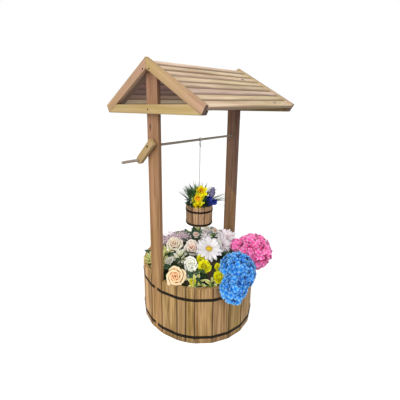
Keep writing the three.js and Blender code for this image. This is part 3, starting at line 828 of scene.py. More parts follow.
arm_wood = sawn_wood("arm_wood", (0.52, 0.37, 0.18), (0.36, 0.225, 0.09), 0.8, 0.1, seam=0.35,
                     roughness=0.64)
arm_half = 0.0155
arm_above_rod = 0.026
arm_down = np.array([0, np.sin(arm_angle), -np.cos(arm_angle)])
arm_side = np.array([0, np.cos(arm_angle), np.sin(arm_angle)])
bow = np.linspace(0, np.pi, 13)
arm_reaches = np.concatenate([[-arm_above_rod] * 2, arm_reach + arm_half * np.sin(bow)])
arm_offsets = np.concatenate([[arm_half, -arm_half], -arm_half * np.cos(bow)])
corners = arm_reaches[:, None] * arm_down[1:] + arm_offsets[:, None] * arm_side[1:]
corners = corners + [0, rod_height]
shape = lying(slab(corners, [0.002, 0.002] + [0.0008] * 13, arm_outer, arm_face, 0.0018))
make_piece("crank_arm_board", grained(shape, arm_side, along_x, arm_down), arm_wood, "windlass",
           ["crank_arm"])
screw = domes([(arm_outer, 0.006, rod_height - 0.002)], (-1, 0, 0), 0.0046, 0.0008)
make_piece("arm_screw", screw, band_steel, "windlass")


# The bucket is made like a small tub: fourteen tapered staves round a thin wooden floor, two round
# bands of black steel, and a bail of the same cotton cord, whose ends are let into the rim.
bucket_rim = tub_height + 0.263
bucket_height = 0.091
bucket_foot = bucket_rim - bucket_height
bucket_rim_radius = 0.0615
bucket_foot_radius = 0.060
bucket_wall = 0.008
bucket_staves = 14
bucket_seam = 0.0008
bucket_wood = sawn_wood("bucket_wood", (0.60, 0.37, 0.19), (0.24, 0.125, 0.055), 1.1, 0.12, seam=0.8)


def tapered(points):
    """Points laid out at the rim's radius, drawn in towards the rope's line by the radius at their
    height, which grows evenly from foot to rim, over that at the rim."""
    share = (points[:, 2:] - bucket_foot) / bucket_height
    radius = bucket_foot_radius + (bucket_rim_radius - bucket_foot_radius) * share
    drawn_in = points[:, :2] * radius / bucket_rim_radius
    return np.concatenate([drawn_in, points[:, 2:]], 1) + [rope_place, 0, 0]


for i in range(bucket_staves):
    middle = 2 * np.pi * i / bucket_staves
    reach = np.pi / bucket_staves - bucket_seam / 2 / bucket_rim_radius
    arc = on_circle(middle + reach * np.array([-1, -1 / 3, 1 / 3, 1]))
    corners = np.concatenate([bucket_rim_radius * arc, (bucket_rim_radius - bucket_wall) * arc[::-1]])
    points, faces = slab(corners, [0.0011, 0.0004, 0.0004, 0.0011] + [0.0004] * 4, bucket_foot,
                         bucket_rim, 0.0009)
    outward = np.array([np.cos(middle), np.sin(middle), 0])
    tangent = np.array([-np.sin(middle), np.cos(middle), 0])
    shape = grained((tapered(points), faces), tangent, outward, up, chance.uniform(-0.1, 0.1))
    make_piece(f"bucket_stave_{i + 1}", shape, bucket_wood, "bucket",
               ["bucket_shell"] if i == 0 else ())
angle = np.linspace(0, 2 * np.pi, 40, endpoint=False)
corners = (bucket_foot_radius - bucket_wall + 0.0005) * on_circle(angle)
points, faces = slab(corners, 0.0006, bucket_foot + 0.002, bucket_foot + 0.009, 0.0006)
shape = grained((points + [rope_place, 0, 0], faces), along_x, up, along_y)
make_piece("bucket_floor", shape, bucket_wood, "bucket")

bucket_bands = {"upper": bucket_rim - 0.023, "lower": bucket_foot + 0.0075}
section = band_section(0.009, 0.001, 0.0003)
turn = np.linspace(0, 2 * np.pi, 72, endpoint=False)
for level, height in bucket_bands.items():
    radius = bucket_foot_radius + clearance + (bucket_rim_radius - bucket_foot_radius) * (
        height - bucket_foot) / bucket_height
    out = np.stack([np.cos(turn), np.sin(turn), 0 * turn], -1)
    points = out[:, None] * (radius + section[:, 1:]) + section[:, :1] * up
    points = points + [rope_place, 0, height]
    quads = ring_faces(72, len(section), True)
    make_piece(f"bucket_band_{level}", (points.reshape(-1, 3), quads, {}), band_steel, "bucket",
               [f"bucket_hoop_{level}"], 30)

bail_out = bucket_rim_radius - bucket_wall / 2
bail_low, bail_straight, bail_top = bucket_rim - 0.0057, bucket_rim + 0.009, bucket_rim + 0.070
shoulder = (bail_straight + bail_top) / 2
t = np.linspace(0, 1, 60)[:, None]
quarter = ((1 - t) ** 3 * [bail_out, bail_straight] + 3 * t * (1 - t) ** 2 * [bail_out, shoulder]
           + 3 * t ** 2 * (1 - t) * [bail_out / 3, bail_top] + t ** 3 * [0, bail_top])
upright = np.linspace([bail_out, bail_low], [bail_out, bail_straight], 12)[:-1]
quarter = np.concatenate([upright, quarter])
bail = np.concatenate([quarter, (quarter * [-1, 1])[::-1][1:]])
bail_path = np.stack([rope_place + bail[:, 0], 0 * bail[:, 0], bail[:, 1]], -1)
make_piece("bucket_handle", cord_shape(bail_path, (0, 1, 0), rope_radius), cotton_cord, "bucket",
           ["bucket_bail"], 80)


# The tub is filled with compost to a little below the rim and heaped with moss between the plants.
# It is one mound, lumpy on top, flat below, that stays clear of the boards and the posts.
compost_level = 0.228
mound_radius = 0.228
mound_rise = 0.098
board_limit = 0.233
post_limit = 0.2335
golden = np.pi * (3 - np.sqrt(5))


def mound_height(radius):
    """The height of the foliage at a distance from the middle: an ellipse over the compost."""
    return compost_level + mound_rise * np.sqrt(np.maximum(1 - (radius / mound_radius) ** 2, 0))


def clear_of_tub(points):
    """Points below the rim drawn in to the inside of the boards, and points beside a post drawn
    away from it. What lies beyond the limit is squeezed to a tenth, so that no blade turns inside
    out, and the pull fades out over some millimetres above the rim and beside the post."""
    radius = np.linalg.norm(points[:, :2], axis=1)
    low = np.clip((tub_height + 0.010 - points[:, 2]) / 0.008, 0, 1)
    points[:, :2] *= (1 - 0.9 * low * np.maximum(radius - board_limit, 0) / radius)[:, None]
    beside = np.clip((post_width / 2 + 0.010 - np.abs(points[:, 1])) / 0.006, 0, 1)
    beyond = np.maximum(np.abs(points[:, 0]) - post_limit, 0)
    points[:, 0] -= 0.9 * beside * np.sign(points[:, 0]) * beyond
    return points


def lumps(x, y, scale):
    """Smooth lumps: a sum of six sine products at golden-ratio scales."""
    total = 0 * x
    for i in range(6):
        pace, turn = scale * 1.62 ** (i / 2), 1.9 * i
        total += np.sin(pace * (x * np.cos(turn) + y * np.sin(turn)) + i) * np.sin(
            pace * 1.13 * (y * np.cos(turn) - x * np.sin(turn)) + 2 * i) / 1.35 ** i
    return total / 3


def heap(radius, top, foot, height_at, bump, scale, place):
    """A round heap: rings from the middle of the top out to the rim, down, and back below. The
    top lies at the given height plus the bump times the lumps there."""
    out = np.concatenate([np.linspace(0.02, 1, 26), [1.0, 0.9, 0.02]]) * radius
    turn = np.linspace(0, 2 * np.pi, 90, endpoint=False)
    x, y = out[:, None] * np.cos(turn), out[:, None] * np.sin(turn)
    z = np.broadcast_to(height_at(out)[:, None], x.shape) + bump * lumps(x, y, scale)
    z[25] = top
    z[26:] = foot
    points = np.stack([x, y, z], -1).reshape(-1, 3) + place
    quads, caps = ring_faces(len(out), 90)
    return points, [quads[:, ::-1], caps[:, ::-1]], {}


def moss():
    """Compost and moss: brown crumbs, dark green tufts where the blotches are high."""
    material, tree = new_material("moss_and_compost", Roughness=0.95)
    where = add(tree, "TexCoord")["Object"]
    blotch = noise(tree, where, 38.0, 4.0)
    crumbs = noise(tree, where, 420.0, 3.0)
    earth = mixed(tree, crumbs, (0.03, 0.017, 0.01), (0.12, 0.07, 0.04))
    tuft = mixed(tree, crumbs, (0.006, 0.02, 0.006), (0.03, 0.075, 0.018))
    colour = mixed(tree, spread(tree, blotch, 0.44, 0.56, 0, 1), earth, tuft)
    return finished(material, colour, crumbs, 0.8, 0.003)


moss_green = moss()
points, faces, layers = heap(0.2355, compost_level, 0.0165, lambda r: mound_height(r) - 0.022, 0.006,
                             60, (0, 0, 0))
make_piece("tub_moss", (clear_of_tub(points), faces, layers), moss_green, "planter",
           ["tub_planting"], 80)


# The leaves stand out of the moss all round: dark broad leaves, brighter ones, and variegated ones
# with cream edges. Each is one thin closed blade, folded along its middle and arched over.
def broad(u):
    """Half the width of a broad leaf or petal along its length u: the sine of pi u^0.8, blunted
    by the power 0.6, so that it is widest at 0.42, with 0.03 left at both ends."""
    return np.sin(np.pi * u ** 0.8) ** 0.6 * 0.97 + 0.03


def oval(u):
    """Half the width of a pointed oval leaf along its length u: the sine of pi u^0.75, to the
    power 0.95, so that it is widest at 0.40, with 0.03 left at both ends."""
    return np.sin(np.pi * u ** 0.75) ** 0.95 * 0.97 + 0.03


def fanned(u):
    """Half the width of a petal along its length u: the square root of the sine of pi u^1.55, so
    that it is widest near the tip, at 0.64, with 0.06 left at both ends."""
    return np.sin(np.pi * u ** 1.55) ** 0.5 * 0.94 + 0.06


def blades(root, rise, lean, length, width, bend, cup, outline, steps=6, thick=0.0005, luck=None):
    """Thin closed blades. The middle line of each starts along 'rise' and turns towards 'lean' at
    a steady rate, bend in all. Across it the section is a flat ring of six points: sideways
    w cos a, and off the blade cup w cos a cos a + t sin a, with w the half width there."""
    count = len(root)
    full = lambda value: np.broadcast_to(np.asarray(value, float), (count,))[:, None, None]
    rise = unit(rise)
    lean = unit(lean - rise * np.sum(lean * rise, -1, keepdims=True))
    side = np.cross(lean, rise)
    u = np.linspace(0, 1, steps)[None, :, None]
    a = np.linspace(0, 2 * np.pi, 6, endpoint=False)[None, None, :]
    turn = np.where(np.abs(full(bend)) < 1e-3, 1e-3, full(bend))
    reach = full(length) * np.sin(turn * u) / turn
    fall = full(length) * (1 - np.cos(turn * u)) / turn
    wide = full(width) / 2 * outline(u)
    lift = full(cup) * wide * np.cos(a) ** 2 + thick * np.sin(a) * np.minimum(1, 4 * outline(u))
    rise, lean, side, start = (v[:, None, None] for v in (rise, lean, side, root))
    points = (start + rise * (reach - lift * np.sin(turn * u))[..., None]
              + lean * (fall + lift * np.cos(turn * u))[..., None]
              + side * (wide * np.cos(a))[..., None])
    quads, caps = ring_faces(steps, 6)
    step = (np.arange(count) * steps * 6)[:, None, None]
    faces = [(quads[None] + step).reshape(-1, 4), (caps[None] + step).reshape(-1, 6)]
    luck = chance.random(count) if luck is None else luck
    leaf = np.stack(np.broadcast_arrays(u, np.cos(a), full(luck)), -1)
    return points.reshape(-1, 3), faces, {"leaf": leaf.reshape(-1, 3)}


def leaf_skin(name, dark, bright, edge, vein, rim=0.0):
    """A leaf: dark to bright from plant to plant and blotched along it, a pale midrib and side
    veins that slant forward, and an edge colour where the leaf is variegated."""
    material, tree = new_material(name, Roughness=0.5)
    leaf = read_layer(tree, "leaf")
    u, s, luck = add(tree, "SeparateXYZ", {0: leaf})
    off = calc(tree, "ABSOLUTE", s)
    where = add(tree, "TexCoord")["Object"]
    blotch = noise(tree, where, 60.0)
    share = calc(tree, "MULTIPLY_ADD", blotch, 0.6, luck)
    colour = mixed(tree, spread(tree, share, 0.25, 1.3, 0, 1), dark, bright)
    slant = calc(tree, "MULTIPLY_ADD", off, -0.45, u)
    ribs = calc(tree, "SINE", calc(tree, "MULTIPLY", slant, 44.0))
    ribs = spread(tree, ribs, 0.75, 1.0, 0, 0.35)
    midrib = spread(tree, off, 0.02, 0.16, 0.8, 0)
    ribs = calc(tree, "MAXIMUM", ribs, midrib)
    colour = mixed(tree, ribs, colour, vein)
    border = calc(tree, "MULTIPLY_ADD", blotch, 0.7, off)
    colour = mixed(tree, spread(tree, border, 0.85, 1.0, 0, rim), colour, edge)
    return finished(material, colour, ribs, 0.4, 0.0008)


def scattered(count, inner, outer, start=0.0, sweep=2 * np.pi):
    """Distances from the middle and directions outwards, even over a ring or a part of one: the
    distance is the root of a chance value between the squares of the ring's two radii."""
    turn = start + sweep * chance.random(count)
    radius = np.sqrt(inner ** 2 + (outer ** 2 - inner ** 2) * chance.random(count))
    outward = np.stack([np.cos(turn), np.sin(turn), 0 * turn], -1)
    return radius, outward


# The balls that the tub's flowers fill: where each lies and its radius.
blooms = np.array([
    (-0.217, -0.079, 0.284, 0.046), (-0.092, 0.064, 0.325, 0.044), (-0.125, -0.078, 0.300, 0.038),
    (-0.165, 0.013, 0.295, 0.024), (-0.045, -0.007, 0.330, 0.040), (0.033, 0.040, 0.343, 0.020),
    (0.132, 0.004, 0.345, 0.020), (-0.025, -0.092, 0.340, 0.062), (0.144, -0.067, 0.340, 0.060),
    (0.074, -0.092, 0.330, 0.050), (0.112, 0.046, 0.341, 0.034), (0.051, -0.007, 0.343, 0.034),
    (-0.076, -0.086, 0.310, 0.030), (-0.087, -0.129, 0.297, 0.034), (-0.052, -0.165, 0.295, 0.018),
    (-0.088, -0.203, 0.279, 0.028), (0.010, 0.134, 0.330, 0.030), (-0.030, 0.150, 0.315, 0.030),
    (0.050, 0.110, 0.335, 0.030), (-0.118, -0.007, 0.305, 0.030), (-0.006, -0.232, 0.285, 0.085),
    (0.151, -0.205, 0.305, 0.082), (-0.096, -0.264, 0.256, 0.06), (-0.200, 0.095, 0.275, 0.088),
    (-0.02, 0.100, 0.325, 0.045), (0.030, 0.085, 0.335, 0.045), (-0.150, 0.080, 0.300, 0.040),
    (-0.060, 0.120, 0.320, 0.040),
])


def leaning(outward, axis, slope):
    """An axis tilted outwards by an angle, and the direction square to that, outwards and down."""
    sine, cosine = np.sin(slope)[:, None], np.cos(slope)[:, None]
    return outward * sine + axis * cosine, outward * cosine - axis * sine


def foliage(radius, outward, length, width, outline, low=25, high=80, sink=0.016, cup=-0.3):
    """Leaves rooted in the mound. A leaf's slope grows from the middle to the rim, and it arches
    outwards and down. A leaf whose middle or tip lies inside the ball of a flower is left out."""
    count = len(radius)
    root = outward * radius[:, None] + up * (mound_height(radius) - sink)[:, None]
    slope = np.radians(low + (high - low) * radius / mound_radius + chance.normal(0, 12, count))
    veer = chance.normal(0, 0.5, count)
    outward = unit(outward + np.cross(up, outward) * veer[:, None])
    rise, lean = leaning(outward, up, slope)
    size = chance.uniform(0.75, 1.15, count)
    curl = chance.uniform(0.2, 1.0, count)
    seen = np.stack([root + rise * length * share for share in (0.5, 0.95)])[:, :, None]
    away = np.linalg.norm(seen - blooms[:, :3], axis=-1) > blooms[:, 3]
    kept = away.all(axis=(0, 2))
    points, faces, layers = blades(root[kept], rise[kept], lean[kept], length * size[kept],
                                   width * size[kept], curl[kept], cup, outline)
    return clear_of_tub(points), faces, layers


def plant(name, shapes, material, body="planter"):
    """Leaves or flowers, each its points, its faces and its layers, as one piece."""
    make_piece(name, join(shapes), material, body, (), 80)


dark_leaf = leaf_skin("dark_leaf", (0.006, 0.028, 0.012), (0.03, 0.095, 0.03), (0.1, 0.2, 0.05),
                      (0.05, 0.13, 0.05))
bright_leaf = leaf_skin("bright_leaf", (0.03, 0.11, 0.012), (0.13, 0.28, 0.04), (0.2, 0.35, 0.06),
                        (0.2, 0.36, 0.09))
cream_leaf = leaf_skin("variegated_leaf", (0.26, 0.32, 0.04), (0.62, 0.62, 0.10), (0.96, 0.92, 0.50),
                       (0.6, 0.6, 0.2), 0.9)
plant("dark_leaves", [foliage(*scattered(300, 0.0, 0.220), 0.054, 0.030, oval)], dark_leaf)
plant("bright_leaves", [foliage(*scattered(70, 0.05, 0.218), 0.048, 0.022, oval)], bright_leaf)


def clump(place, count, reach, length, width, outline, tilt, spread_by, bend=0.5, cup=-0.3):
    """Leaves or petals that spring from one place round a tilted axis, turned by golden angles,
    and lean away from it by up to the spread, the later the further."""
    k = np.arange(count)
    axis, ring = ring_round(tilt, golden * k)
    share = np.sqrt((k + 0.5) / count)
    slope = np.radians(spread_by) * share + chance.normal(0, 0.09, count)
    rise, lean = leaning(ring, axis, slope)
    root = np.asarray(place) + ring * reach * share[:, None]
    size = chance.uniform(0.8, 1.1, count)
    return blades(root, rise, lean, length * size, width * size, bend, cup, outline)


points, faces, layers = join([
    clump((-0.161, -0.142, 0.252), 11, 0.012, 0.040, 0.016, oval, (-0.6, -0.5, 0.8), 70),
    clump((-0.190, 0.098, 0.256), 34, 0.026, 0.032, 0.012, oval, (-0.5, -0.3, 1), 50),
    clump((-0.182, 0.066, 0.268), 26, 0.022, 0.034, 0.012, oval, (-0.5, -0.3, 1), 50),
    clump((-0.182, 0.128, 0.256), 18, 0.016, 0.028, 0.011, oval, (-0.4, -0.3, 1), 45),
    clump((-0.136, 0.069, 0.288), 9, 0.010, 0.042, 0.015, oval, (-0.5, 0.0, 0.9), 60),
    clump((0.08, -0.19, 0.252), 8, 0.010, 0.040, 0.016, oval, (0.2, -0.8, 0.6), 70),
    clump((0.16, 0.14, 0.280), 9, 0.010, 0.045, 0.018, oval, (0.6, 0.5, 0.6), 70),
    clump((-0.11, -0.184, 0.247), 8, 0.010, 0.036, 0.015, oval, (-0.4, -0.7, 0.6), 70),
])
plant("variegated_leaves", [(clear_of_tub(points), faces, layers)], cream_leaf)


# The two hydrangeas are balls of small four-petalled florets round a solid middle. The pink one
# stands over the rim at the right with a small head behind it, and the blue one leans over the
# rim beside it with a second head below.
def petal_skin(name, heart, body, rim, vary=0.25, turn=0.5, vein=0.25):
    """A petal: its colour runs from heart to body to rim along it, darker in fine lines, and
    lighter or darker from petal to petal."""
    material, tree = new_material(name, Roughness=0.55, Specular_IOR_Level=0.2)
    leaf = read_layer(tree, "leaf")
    u, s, luck = add(tree, "SeparateXYZ", {0: leaf})
    colour = mixed(tree, spread(tree, u, 0.0, turn, 0, 1), heart, body)
    colour = mixed(tree, spread(tree, u, turn, 1.0, 0, 1), colour, rim)
    lines = calc(tree, "SINE", calc(tree, "MULTIPLY", s, 17.0))
    deep = tuple(part * 0.6 for part in heart)
    colour = mixed(tree, spread(tree, lines, 0.2, 1.0, 0, vein), colour, deep)
    shade = spread(tree, luck, 0, 1, 1 - vary, 1 + vary * 0.6)
    colour = add(tree, "HueSaturation", {"Value": shade, "Color": colour})[0]
    return finished(material, colour, lines, 0.25, 0.0005)


def ball_directions(count, wobble=0.0):
    """Directions spread evenly over a ball: the k-th at the height 1 - (2k + 1) / count, turned
    by k golden angles."""
    k = np.arange(count)
    height = 1 - (2 * k + 1) / count
    flat = np.sqrt(1 - height ** 2)
    out = np.stack([flat * np.cos(golden * k), flat * np.sin(golden * k), height], -1)
    return unit(out + chance.normal(0, 1, out.shape) * wobble)


def florets(centre, radii, count, size, petals=4, bend=0.5, tilt=0.15, nod=0.0, steps=5):
    """A head of florets on an ellipsoid. Each floret's own axis leaves the outward line by chance
    up to the nod. Round it the petals stand at equal angles, nearly square to it, and curl."""
    out = ball_directions(count, 0.06)
    root = np.asarray(centre) + out * np.asarray(radii) * chance.uniform(0.86, 1.0, (count, 1))
    out = out + nod * chance.normal(0, 1, out.shape)
    angle = chance.uniform(0, 6.3, (count, 1)) + 2 * np.pi * np.arange(petals) / petals
    out, ring = ring_round(out[:, None], angle, (0.23, 0.61, 0.76))
    rise = ring + tilt * out + chance.normal(0, 0.08, (count, petals, 3))
    lean = np.broadcast_to(out, rise.shape)
    root = np.broadcast_to(root[:, None], rise.shape)
    luck = np.clip(chance.random((count, 1)) + chance.normal(0, 0.15, (count, petals)), 0, 1)
    grow = chance.uniform(0.85, 1.1, (count, petals))
    root, rise, lean = (each.reshape(-1, 3) for each in (root, rise, lean))
    length = (size * grow).ravel()
    return blades(root, rise, lean, length, 1.1 * length, bend, 0.25, broad, steps, luck=luck.ravel())


def ball(centre, radii, rings=12, around=24):
    """An ellipsoid: rings of radius sin a at the height cos a, from pole to pole."""
    a = np.linspace(0.12, np.pi - 0.12, rings)[::-1, None]
    b = np.linspace(0, 2 * np.pi, around, endpoint=False)[None, :]
    x, y, z = np.broadcast_arrays(np.sin(a) * np.cos(b), np.sin(a) * np.sin(b), np.cos(a))
    points = (np.stack([x, y, z], -1) * radii + np.asarray(centre)).reshape(-1, 3)
    return points, ring_faces(rings, around), {}


def plain_skin(name, low, high, scale):
    """A soft mass behind petals or in a flower's eye: two colours in small cells, bumped."""
    material, tree = new_material(name, Roughness=0.8)
    where = add(tree, "TexCoord")["Object"]
    cells = add(tree, "TexVoronoi", {"Vector": where, "Scale": scale})["Distance"]
    colour = mixed(tree, spread(tree, cells, 0.1, 0.7, 0, 1), high, low)
    return finished(material, colour, cells, 0.8, 0.001, sunk=True)


# The pale rim colour at the petal tips is partly a painted highlight, and the deep heart colour at
# their bases partly painted shade in the gaps between florets.
pink_petal = petal_skin("pink_hydrangea_petal", (1.0, 0.08, 0.35), (1.0, 0.20, 0.54),
                        (1.0, 0.60, 0.84), 0.14, 0.5)
blue_petal = petal_skin("blue_hydrangea_petal", (0.006, 0.14, 0.60), (0.045, 0.34, 0.92),
                        (0.40, 0.77, 1.0), 0.25, 0.5)
pink_heart = plain_skin("pink_hydrangea_middle", (0.60, 0.03, 0.20), (0.85, 0.10, 0.34), 140.0)
blue_heart = plain_skin("blue_hydrangea_middle", (0.006, 0.08, 0.42), (0.025, 0.20, 0.68), 140.0)
pink_heads = [((0.153, -0.207, 0.305), 0.075, 250, 0.0155, 0.067),
              ((0.109, -0.148, 0.325), 0.026, 44, 0.0140, 0.020)]
blue_heads = [((-0.006, -0.232, 0.285), 0.071, 250, 0.0155, 0.063),
              ((-0.088, -0.270, 0.257), 0.047, 100, 0.0150, 0.041)]
for name, petal, heart, heads in (
    ("pink_hydrangea", pink_petal, pink_heart, pink_heads),
    ("blue_hydrangea", blue_petal, blue_heart, blue_heads),
):
    plant(name, [florets(place, (radius,) * 3, count, size, nod=0.4)
                 for place, radius, count, size, _ in heads], petal)
    plant(name + "_middle", [ball(place, (inside,) * 3) for place, _, _, _, inside in heads], heart)


# The daisies have long white petals in two rows round a yellow eye, and the largest faces forward
# in the middle of the tub. Behind it to the right stand white spider flowers of narrow petals.
def daisy(place, axis, radius, petals, width=0.26, droop=0.3, eye=0.19):
    """Petals at equal angles round an axis in two rows, the upper row shorter and turned by half
    a step, each arched away from the axis."""
    k = np.arange(2 * petals)
    row = k // petals
    angle = 2 * np.pi * (k + 0.5 * row) / petals + chance.normal(0, 0.06, 2 * petals)
    axis, ring = ring_round(axis, angle)
    rise = ring + axis * (0.06 + 0.26 * row + chance.normal(0, 0.08, 2 * petals))[:, None]
    root = np.asarray(place) + ring * radius * eye * 0.7 + axis * (0.002 * row)[:, None]
    length = radius * (1 - eye * 0.7) * (1 - 0.16 * row) * chance.uniform(0.90, 1.06, 2 * petals)
    return blades(root, rise, np.broadcast_to(-axis, rise.shape), length, radius * width, droop,
                  -0.22, fanned, 7)


def spider(place, axis, radius, petals):
    """Narrow petals turned by golden angles, the first nearly upright and the last level, all
    arched. The slope of petal k grows with the square root of its share of the count."""
    k = np.arange(petals)
    axis, ring = ring_round(axis, golden * k)
    slope = np.radians(15 + 75 * np.sqrt((k + 0.5) / petals) + chance.normal(0, 7, petals))
    rise, lean = leaning(ring, axis, slope)
    root = np.asarray(place) - 0.25 * radius * axis + 0.1 * radius * ring
    length = radius * chance.uniform(0.72, 1.08, petals)
    return blades(root, rise, lean, length, 0.17 * radius, 0.35, -0.3, fanned, 6)


# The grey heart colour at the daisy petals' bases is painted shade near the eye.
white_petal = petal_skin("white_daisy_petal", (0.62, 0.58, 0.60), (0.82, 0.79, 0.80),
                         (0.90, 0.88, 0.89), 0.14, 0.4, 0.15)
spider_petal = petal_skin("white_spider_petal", (0.84, 0.66, 0.70), (1.0, 0.93, 0.95),
                          (1.0, 0.98, 1.0), 0.12, 0.4, 0.1)
yellow_eye = plain_skin("daisy_eye", (0.62, 0.36, 0.0), (0.90, 0.72, 0.03), 420.0)
daisy_heads = [
    ((-0.025, -0.092, 0.337), (-0.50, -0.45, 0.72), 0.062, 15),
    ((0.03, 0.186, 0.284), (0.1, 0.9, 0.5), 0.040, 13),
    ((0.195, 0.075, 0.300), (0.8, 0.3, 0.7), 0.040, 12),
]
plant("white_daisies", [daisy(*head) for head in daisy_heads], white_petal)
plant("daisy_eyes", [
    ball(np.array(place) + 0.004 * unit(np.array(axis)), np.array([0.22, 0.22, 0.17]) * radius, 10, 18)
    for place, axis, radius, _ in daisy_heads
], yellow_eye)
plant("white_spiders", [
    spider((0.134, -0.067, 0.336), (-0.25, -0.35, 0.90), 0.052, 60),
    spider((0.074, -0.092, 0.326), (-0.3, -0.5, 0.8), 0.044, 46),
    spider((0.165, -0.045, 0.326), (0.15, -0.3, 0.95), 0.040, 36),
    spider((0.102, 0.036, 0.339), (-0.1, -0.2, 1), 0.034, 30),
    spider((0.051, -0.007, 0.339), (-0.4, -0.2, 0.9), 0.032, 28),
], spider_petal)


# The roses are cupped petals wound outwards from a tight middle: a peach one by the post, a paler
# one behind it, a white one and a blush one beside the daisy, and small buds among them.
def shell(front, back):
    """Closed thin sheets from two grids each, of sheets by rows by columns of points: the front,
    the back turned over, and a strip round the border between them."""
    count, rows, columns = front.shape[:3]
    size = rows * columns
    spot = np.arange(size).reshape(rows, columns)
    facing = np.stack([spot[:-1, :-1], spot[:-1, 1:], spot[1:, 1:], spot[1:, :-1]], -1).reshape(-1, 4)
    border = np.concatenate([spot[0, :-1], spot[:-1, -1], spot[-1, :0:-1], spot[:0:-1, 0]])
    following = np.roll(border, -1)
    strip = np.stack([following, border, border + size, following + size], -1)
    one = np.concatenate([facing, facing[:, ::-1] + size, strip])
    step = 2 * size * np.arange(count)[:, None, None]
    points = np.stack([front, back], 1).reshape(-1, 3)
    return points, [(one[None] + step).reshape(-1, 4)]


def rose(place, axis, radius, petals):
    """Petal k stands round the axis at k golden angles and wraps part of the way round it. It
    rises along a quarter of a sine wave to its lip, and the last half of it rolls outwards. From
    the middle out the petals are wider apart, lower, narrower in angle and wavier."""
    k = np.arange(petals)[:, None, None]
    t = k / (petals - 1)
    u = np.linspace(0, 1, 11)[None, :, None]
    v = np.linspace(-1, 1, 9)[None, None, :]
    up_to = u * (1 - 0.24 * np.abs(v) ** 2.6)
    roll = np.clip((up_to - 0.55) / 0.45, 0, 1)
    wave = 0.04 * t * np.sin(2.6 * np.pi * v + 2.1 * k) * roll
    quarter_sine = lambda share: np.sin(0.5 * np.pi * np.minimum(1, share))
    out = (0.03 + 0.77 * t ** 0.9 * (1 + 0.08 * v)) * quarter_sine(0.2 + 1.6 * up_to)
    out = out + (0.10 + 0.15 * t) * roll ** 1.6 + wave
    high = 0.60 - 0.52 * t ** 1.25
    rise = -0.6 + (high + 0.6) * quarter_sine(1.25 * up_to) - 0.13 * t * roll ** 2 + wave
    half = np.radians(95 - 52 * t ** 0.6) * (0.5 + 0.5 * quarter_sine(1.5 * u))
    axis, ring = ring_round(axis, golden * k + half * v)
    grids = [np.asarray(place) + ring * (radius * out + thick)[..., None]
             + axis * (radius * rise)[..., None] for thick in (0.0004, -0.0004)]
    luck = np.clip(1 - t + chance.normal(0, 0.08, k.shape), 0, 1)
    leaf = np.stack(np.broadcast_arrays(up_to, v, luck), -1)
    leaf = np.stack([leaf, leaf], 1).reshape(-1, 3)
    return *shell(*grids), {"leaf": leaf}


def rose_skin(name, heart, rim):
    """A rose petal: warm in the middle of the flower and paler at its outer petals; paler too at
    its edges, partly its own colour and partly a painted highlight along the lips.
    """
    material, tree = new_material(name, Roughness=0.6, Specular_IOR_Level=0.2)
    leaf = read_layer(tree, "leaf")
    u, _, luck = add(tree, "SeparateXYZ", {0: leaf})
    warm = spread(tree, luck, 0.1, 0.9, 0.25, 1)
    # Paler towards the lip: partly the petal's colour, partly a painted highlight.
    edge = spread(tree, u, 0.6, 1.0, 0.0, 1)
    warm = calc(tree, "MULTIPLY_ADD", edge, -0.7, warm, use_clamp=True)
    root = spread(tree, u, 0.3, 0.7, 0.6, 0)
    warm = calc(tree, "ADD", warm, root, use_clamp=True)
    where = add(tree, "TexCoord")["Object"]
    mottle = noise(tree, where, 160.0)
    colour = mixed(tree, warm, rim, heart)
    shade = spread(tree, mottle, 0.3, 0.7, 0.93, 1.05)
    colour = add(tree, "HueSaturation", {"Value": shade, "Color": colour})[0]
    return finished(material, colour)


for name, skin_name, heart, rim, roses in (
    ("peach_rose", "peach_rose_petal", (0.96, 0.42, 0.15), (0.94, 0.75, 0.46), (
        ((-0.214, -0.077, 0.278), (-0.66, -0.58, 0.52), 0.043, 18),
    )),
    ("cream_roses", "cream_rose_petal", (1.0, 0.70, 0.46), (1.0, 0.95, 0.76), (
        ((-0.092, 0.064, 0.322), (-0.45, -0.35, 0.8), 0.041, 18),
        ((0.07, 0.200, 0.268), (0.2, 0.8, 0.5), 0.036, 22),
        ((0.215, 0.02, 0.290), (0.9, 0.0, 0.5), 0.032, 20),
    )),
    ("white_roses", "white_rose_petal", (0.84, 0.86, 0.64), (0.96, 0.95, 0.88), (
        ((-0.125, -0.078, 0.298), (-0.58, -0.52, 0.62), 0.033, 17),
        ((-0.165, 0.013, 0.290), (-0.6, -0.2, 0.8), 0.021, 14),
    )),
    ("blush_roses", "blush_rose_petal", (1.0, 0.60, 0.40), (1.0, 0.94, 0.84), (
        ((-0.051, -0.014, 0.318), (-0.55, -0.5, 0.68), 0.042, 17),
        ((0.033, 0.040, 0.340), (-0.3, -0.3, 0.9), 0.018, 12),
        ((0.132, 0.004, 0.342), (-0.2, -0.3, 0.9), 0.017, 12),
        ((0.10, 0.192, 0.272), (0.3, 0.8, 0.5), 0.028, 16),
    )),
):
    plant(name, [rose(*each) for each in roses], rose_skin(skin_name, heart, rim))


# Between the roses and the blue hydrangea stand yellow button flowers, and a few pale green
# petals fill the gaps. Behind the roses by the near post a spray of lilac-pink spikes fans out
# over the back of the tub.
def button(place, axis, radius, count):
    """Small petals on a dome round an axis, turned by golden angles, curled in towards it."""
    k = np.arange(count)
    axis, ring = ring_round(axis, golden * k)
    rise, lean = leaning(ring, axis, np.radians(8 + 82 * np.sqrt((k + 0.5) / count)))
    root = np.asarray(place) - axis * radius * 0.35 + rise * radius * 0.3
    length = radius * chance.uniform(0.62, 0.78, count)
    return blades(root, rise, -lean, length, radius * 0.34, 0.5, 0.3, fanned, 5)


